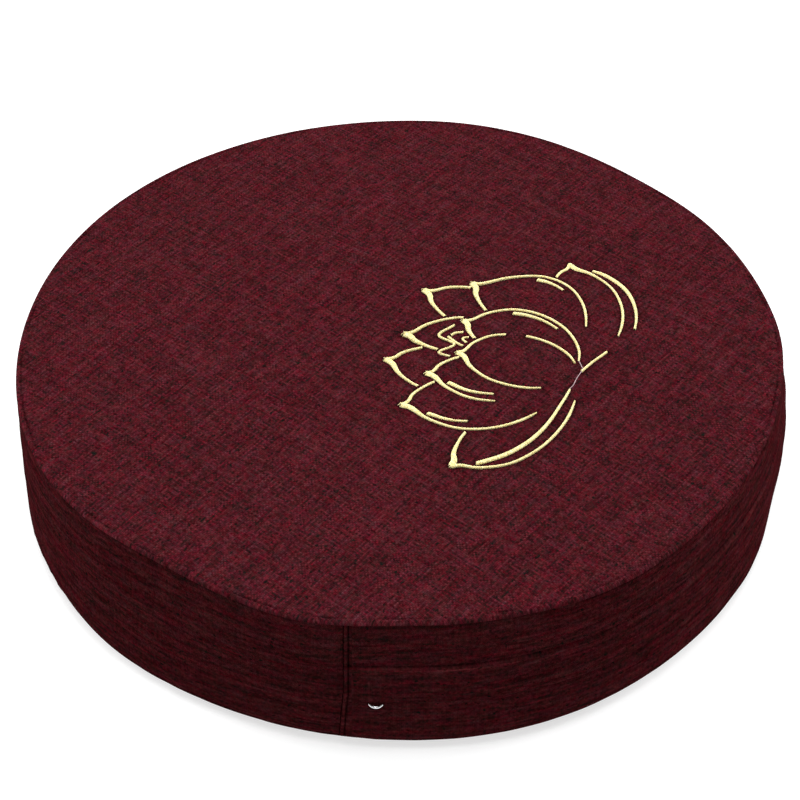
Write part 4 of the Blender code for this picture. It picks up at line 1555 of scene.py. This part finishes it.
def makeFloor():
    made, tree, shader = newMaterial("plain pale floor")
    level = studio["floor"]
    shader.inputs["Base Color"].default_value = (level, level, level, 1.0)
    shader.inputs["Roughness"].default_value = 1.0
    shader.inputs["Specular IOR Level"].default_value = 0.0
    shader.inputs["Emission Color"].default_value = (1.0, 1.0, 1.0, 1.0)
    shader.inputs["Emission Strength"].default_value = studio["floorGlow"]
    size = studio["floorSize"]
    corners = [(-size, -size, 0.0), (size, -size, 0.0), (size, size, 0.0), (-size, size, 0.0)]
    floor = pieceFrom("floor", np.array(corners) - (0, 0, studio["floorDrop"]), [(0, 1, 2, 3)], made)


def areaLight(name, place, aim, size, power):
    lamp = bpy.data.lights.new(name, "AREA")
    lamp.shape = "DISK"
    lamp.size = size
    lamp.energy = power
    light = bpy.data.objects.new(name, lamp)
    light.location = place
    light.rotation_euler = (Vector(aim) - Vector(place)).to_track_quat("-Z", "Y").to_euler()
    bpy.context.scene.collection.objects.link(light)


def makeStudio():
    scene = bpy.context.scene
    scene.view_settings.view_transform = "Standard"
    scene.view_settings.look = "None"
    world = bpy.data.worlds.new("soft studio")
    world.use_nodes = True
    background = world.node_tree.nodes["Background"]
    background.inputs["Color"].default_value = (1, 1, 1, 1)
    background.inputs["Strength"].default_value = studio["world"]
    scene.world = world
    for name, (place, aim, size, power) in studio["lights"].items():
        areaLight(name, place, aim, size, power)


def makeCamera():
    tilt, roll = math.radians(camera["elevation"]), math.radians(camera["roll"])
    ahead = Vector((0, math.cos(tilt), -math.sin(tilt)))
    right, up = Vector((1, 0, 0)), Vector((0, math.sin(tilt), math.cos(tilt)))
    turnedRight = right * math.cos(roll) + up * math.sin(roll)
    turnedUp = up * math.cos(roll) - right * math.sin(roll)
    lens = bpy.data.cameras.new("photo camera")
    lens.sensor_width = camera["sensor"]
    lens.lens = camera["focalPixels"] / camera["imagePixels"] * camera["sensor"]
    view = bpy.data.objects.new("photo camera", lens)
    place = Matrix((turnedRight, turnedUp, -ahead)).transposed().to_4x4()
    place.translation = Vector(camera["aim"]) - ahead * camera["distance"]
    view.matrix_world = place
    bpy.context.scene.collection.objects.link(view)
    bpy.context.scene.camera = view


makePad()
makeTopCover()
makeBaseCover()
makeFlap()
makeUnderStrip()
makePull()
makeLotus()
makeJump()
makeFloor()
makeStudio()
makeCamera()
print("floor, light and camera placed")
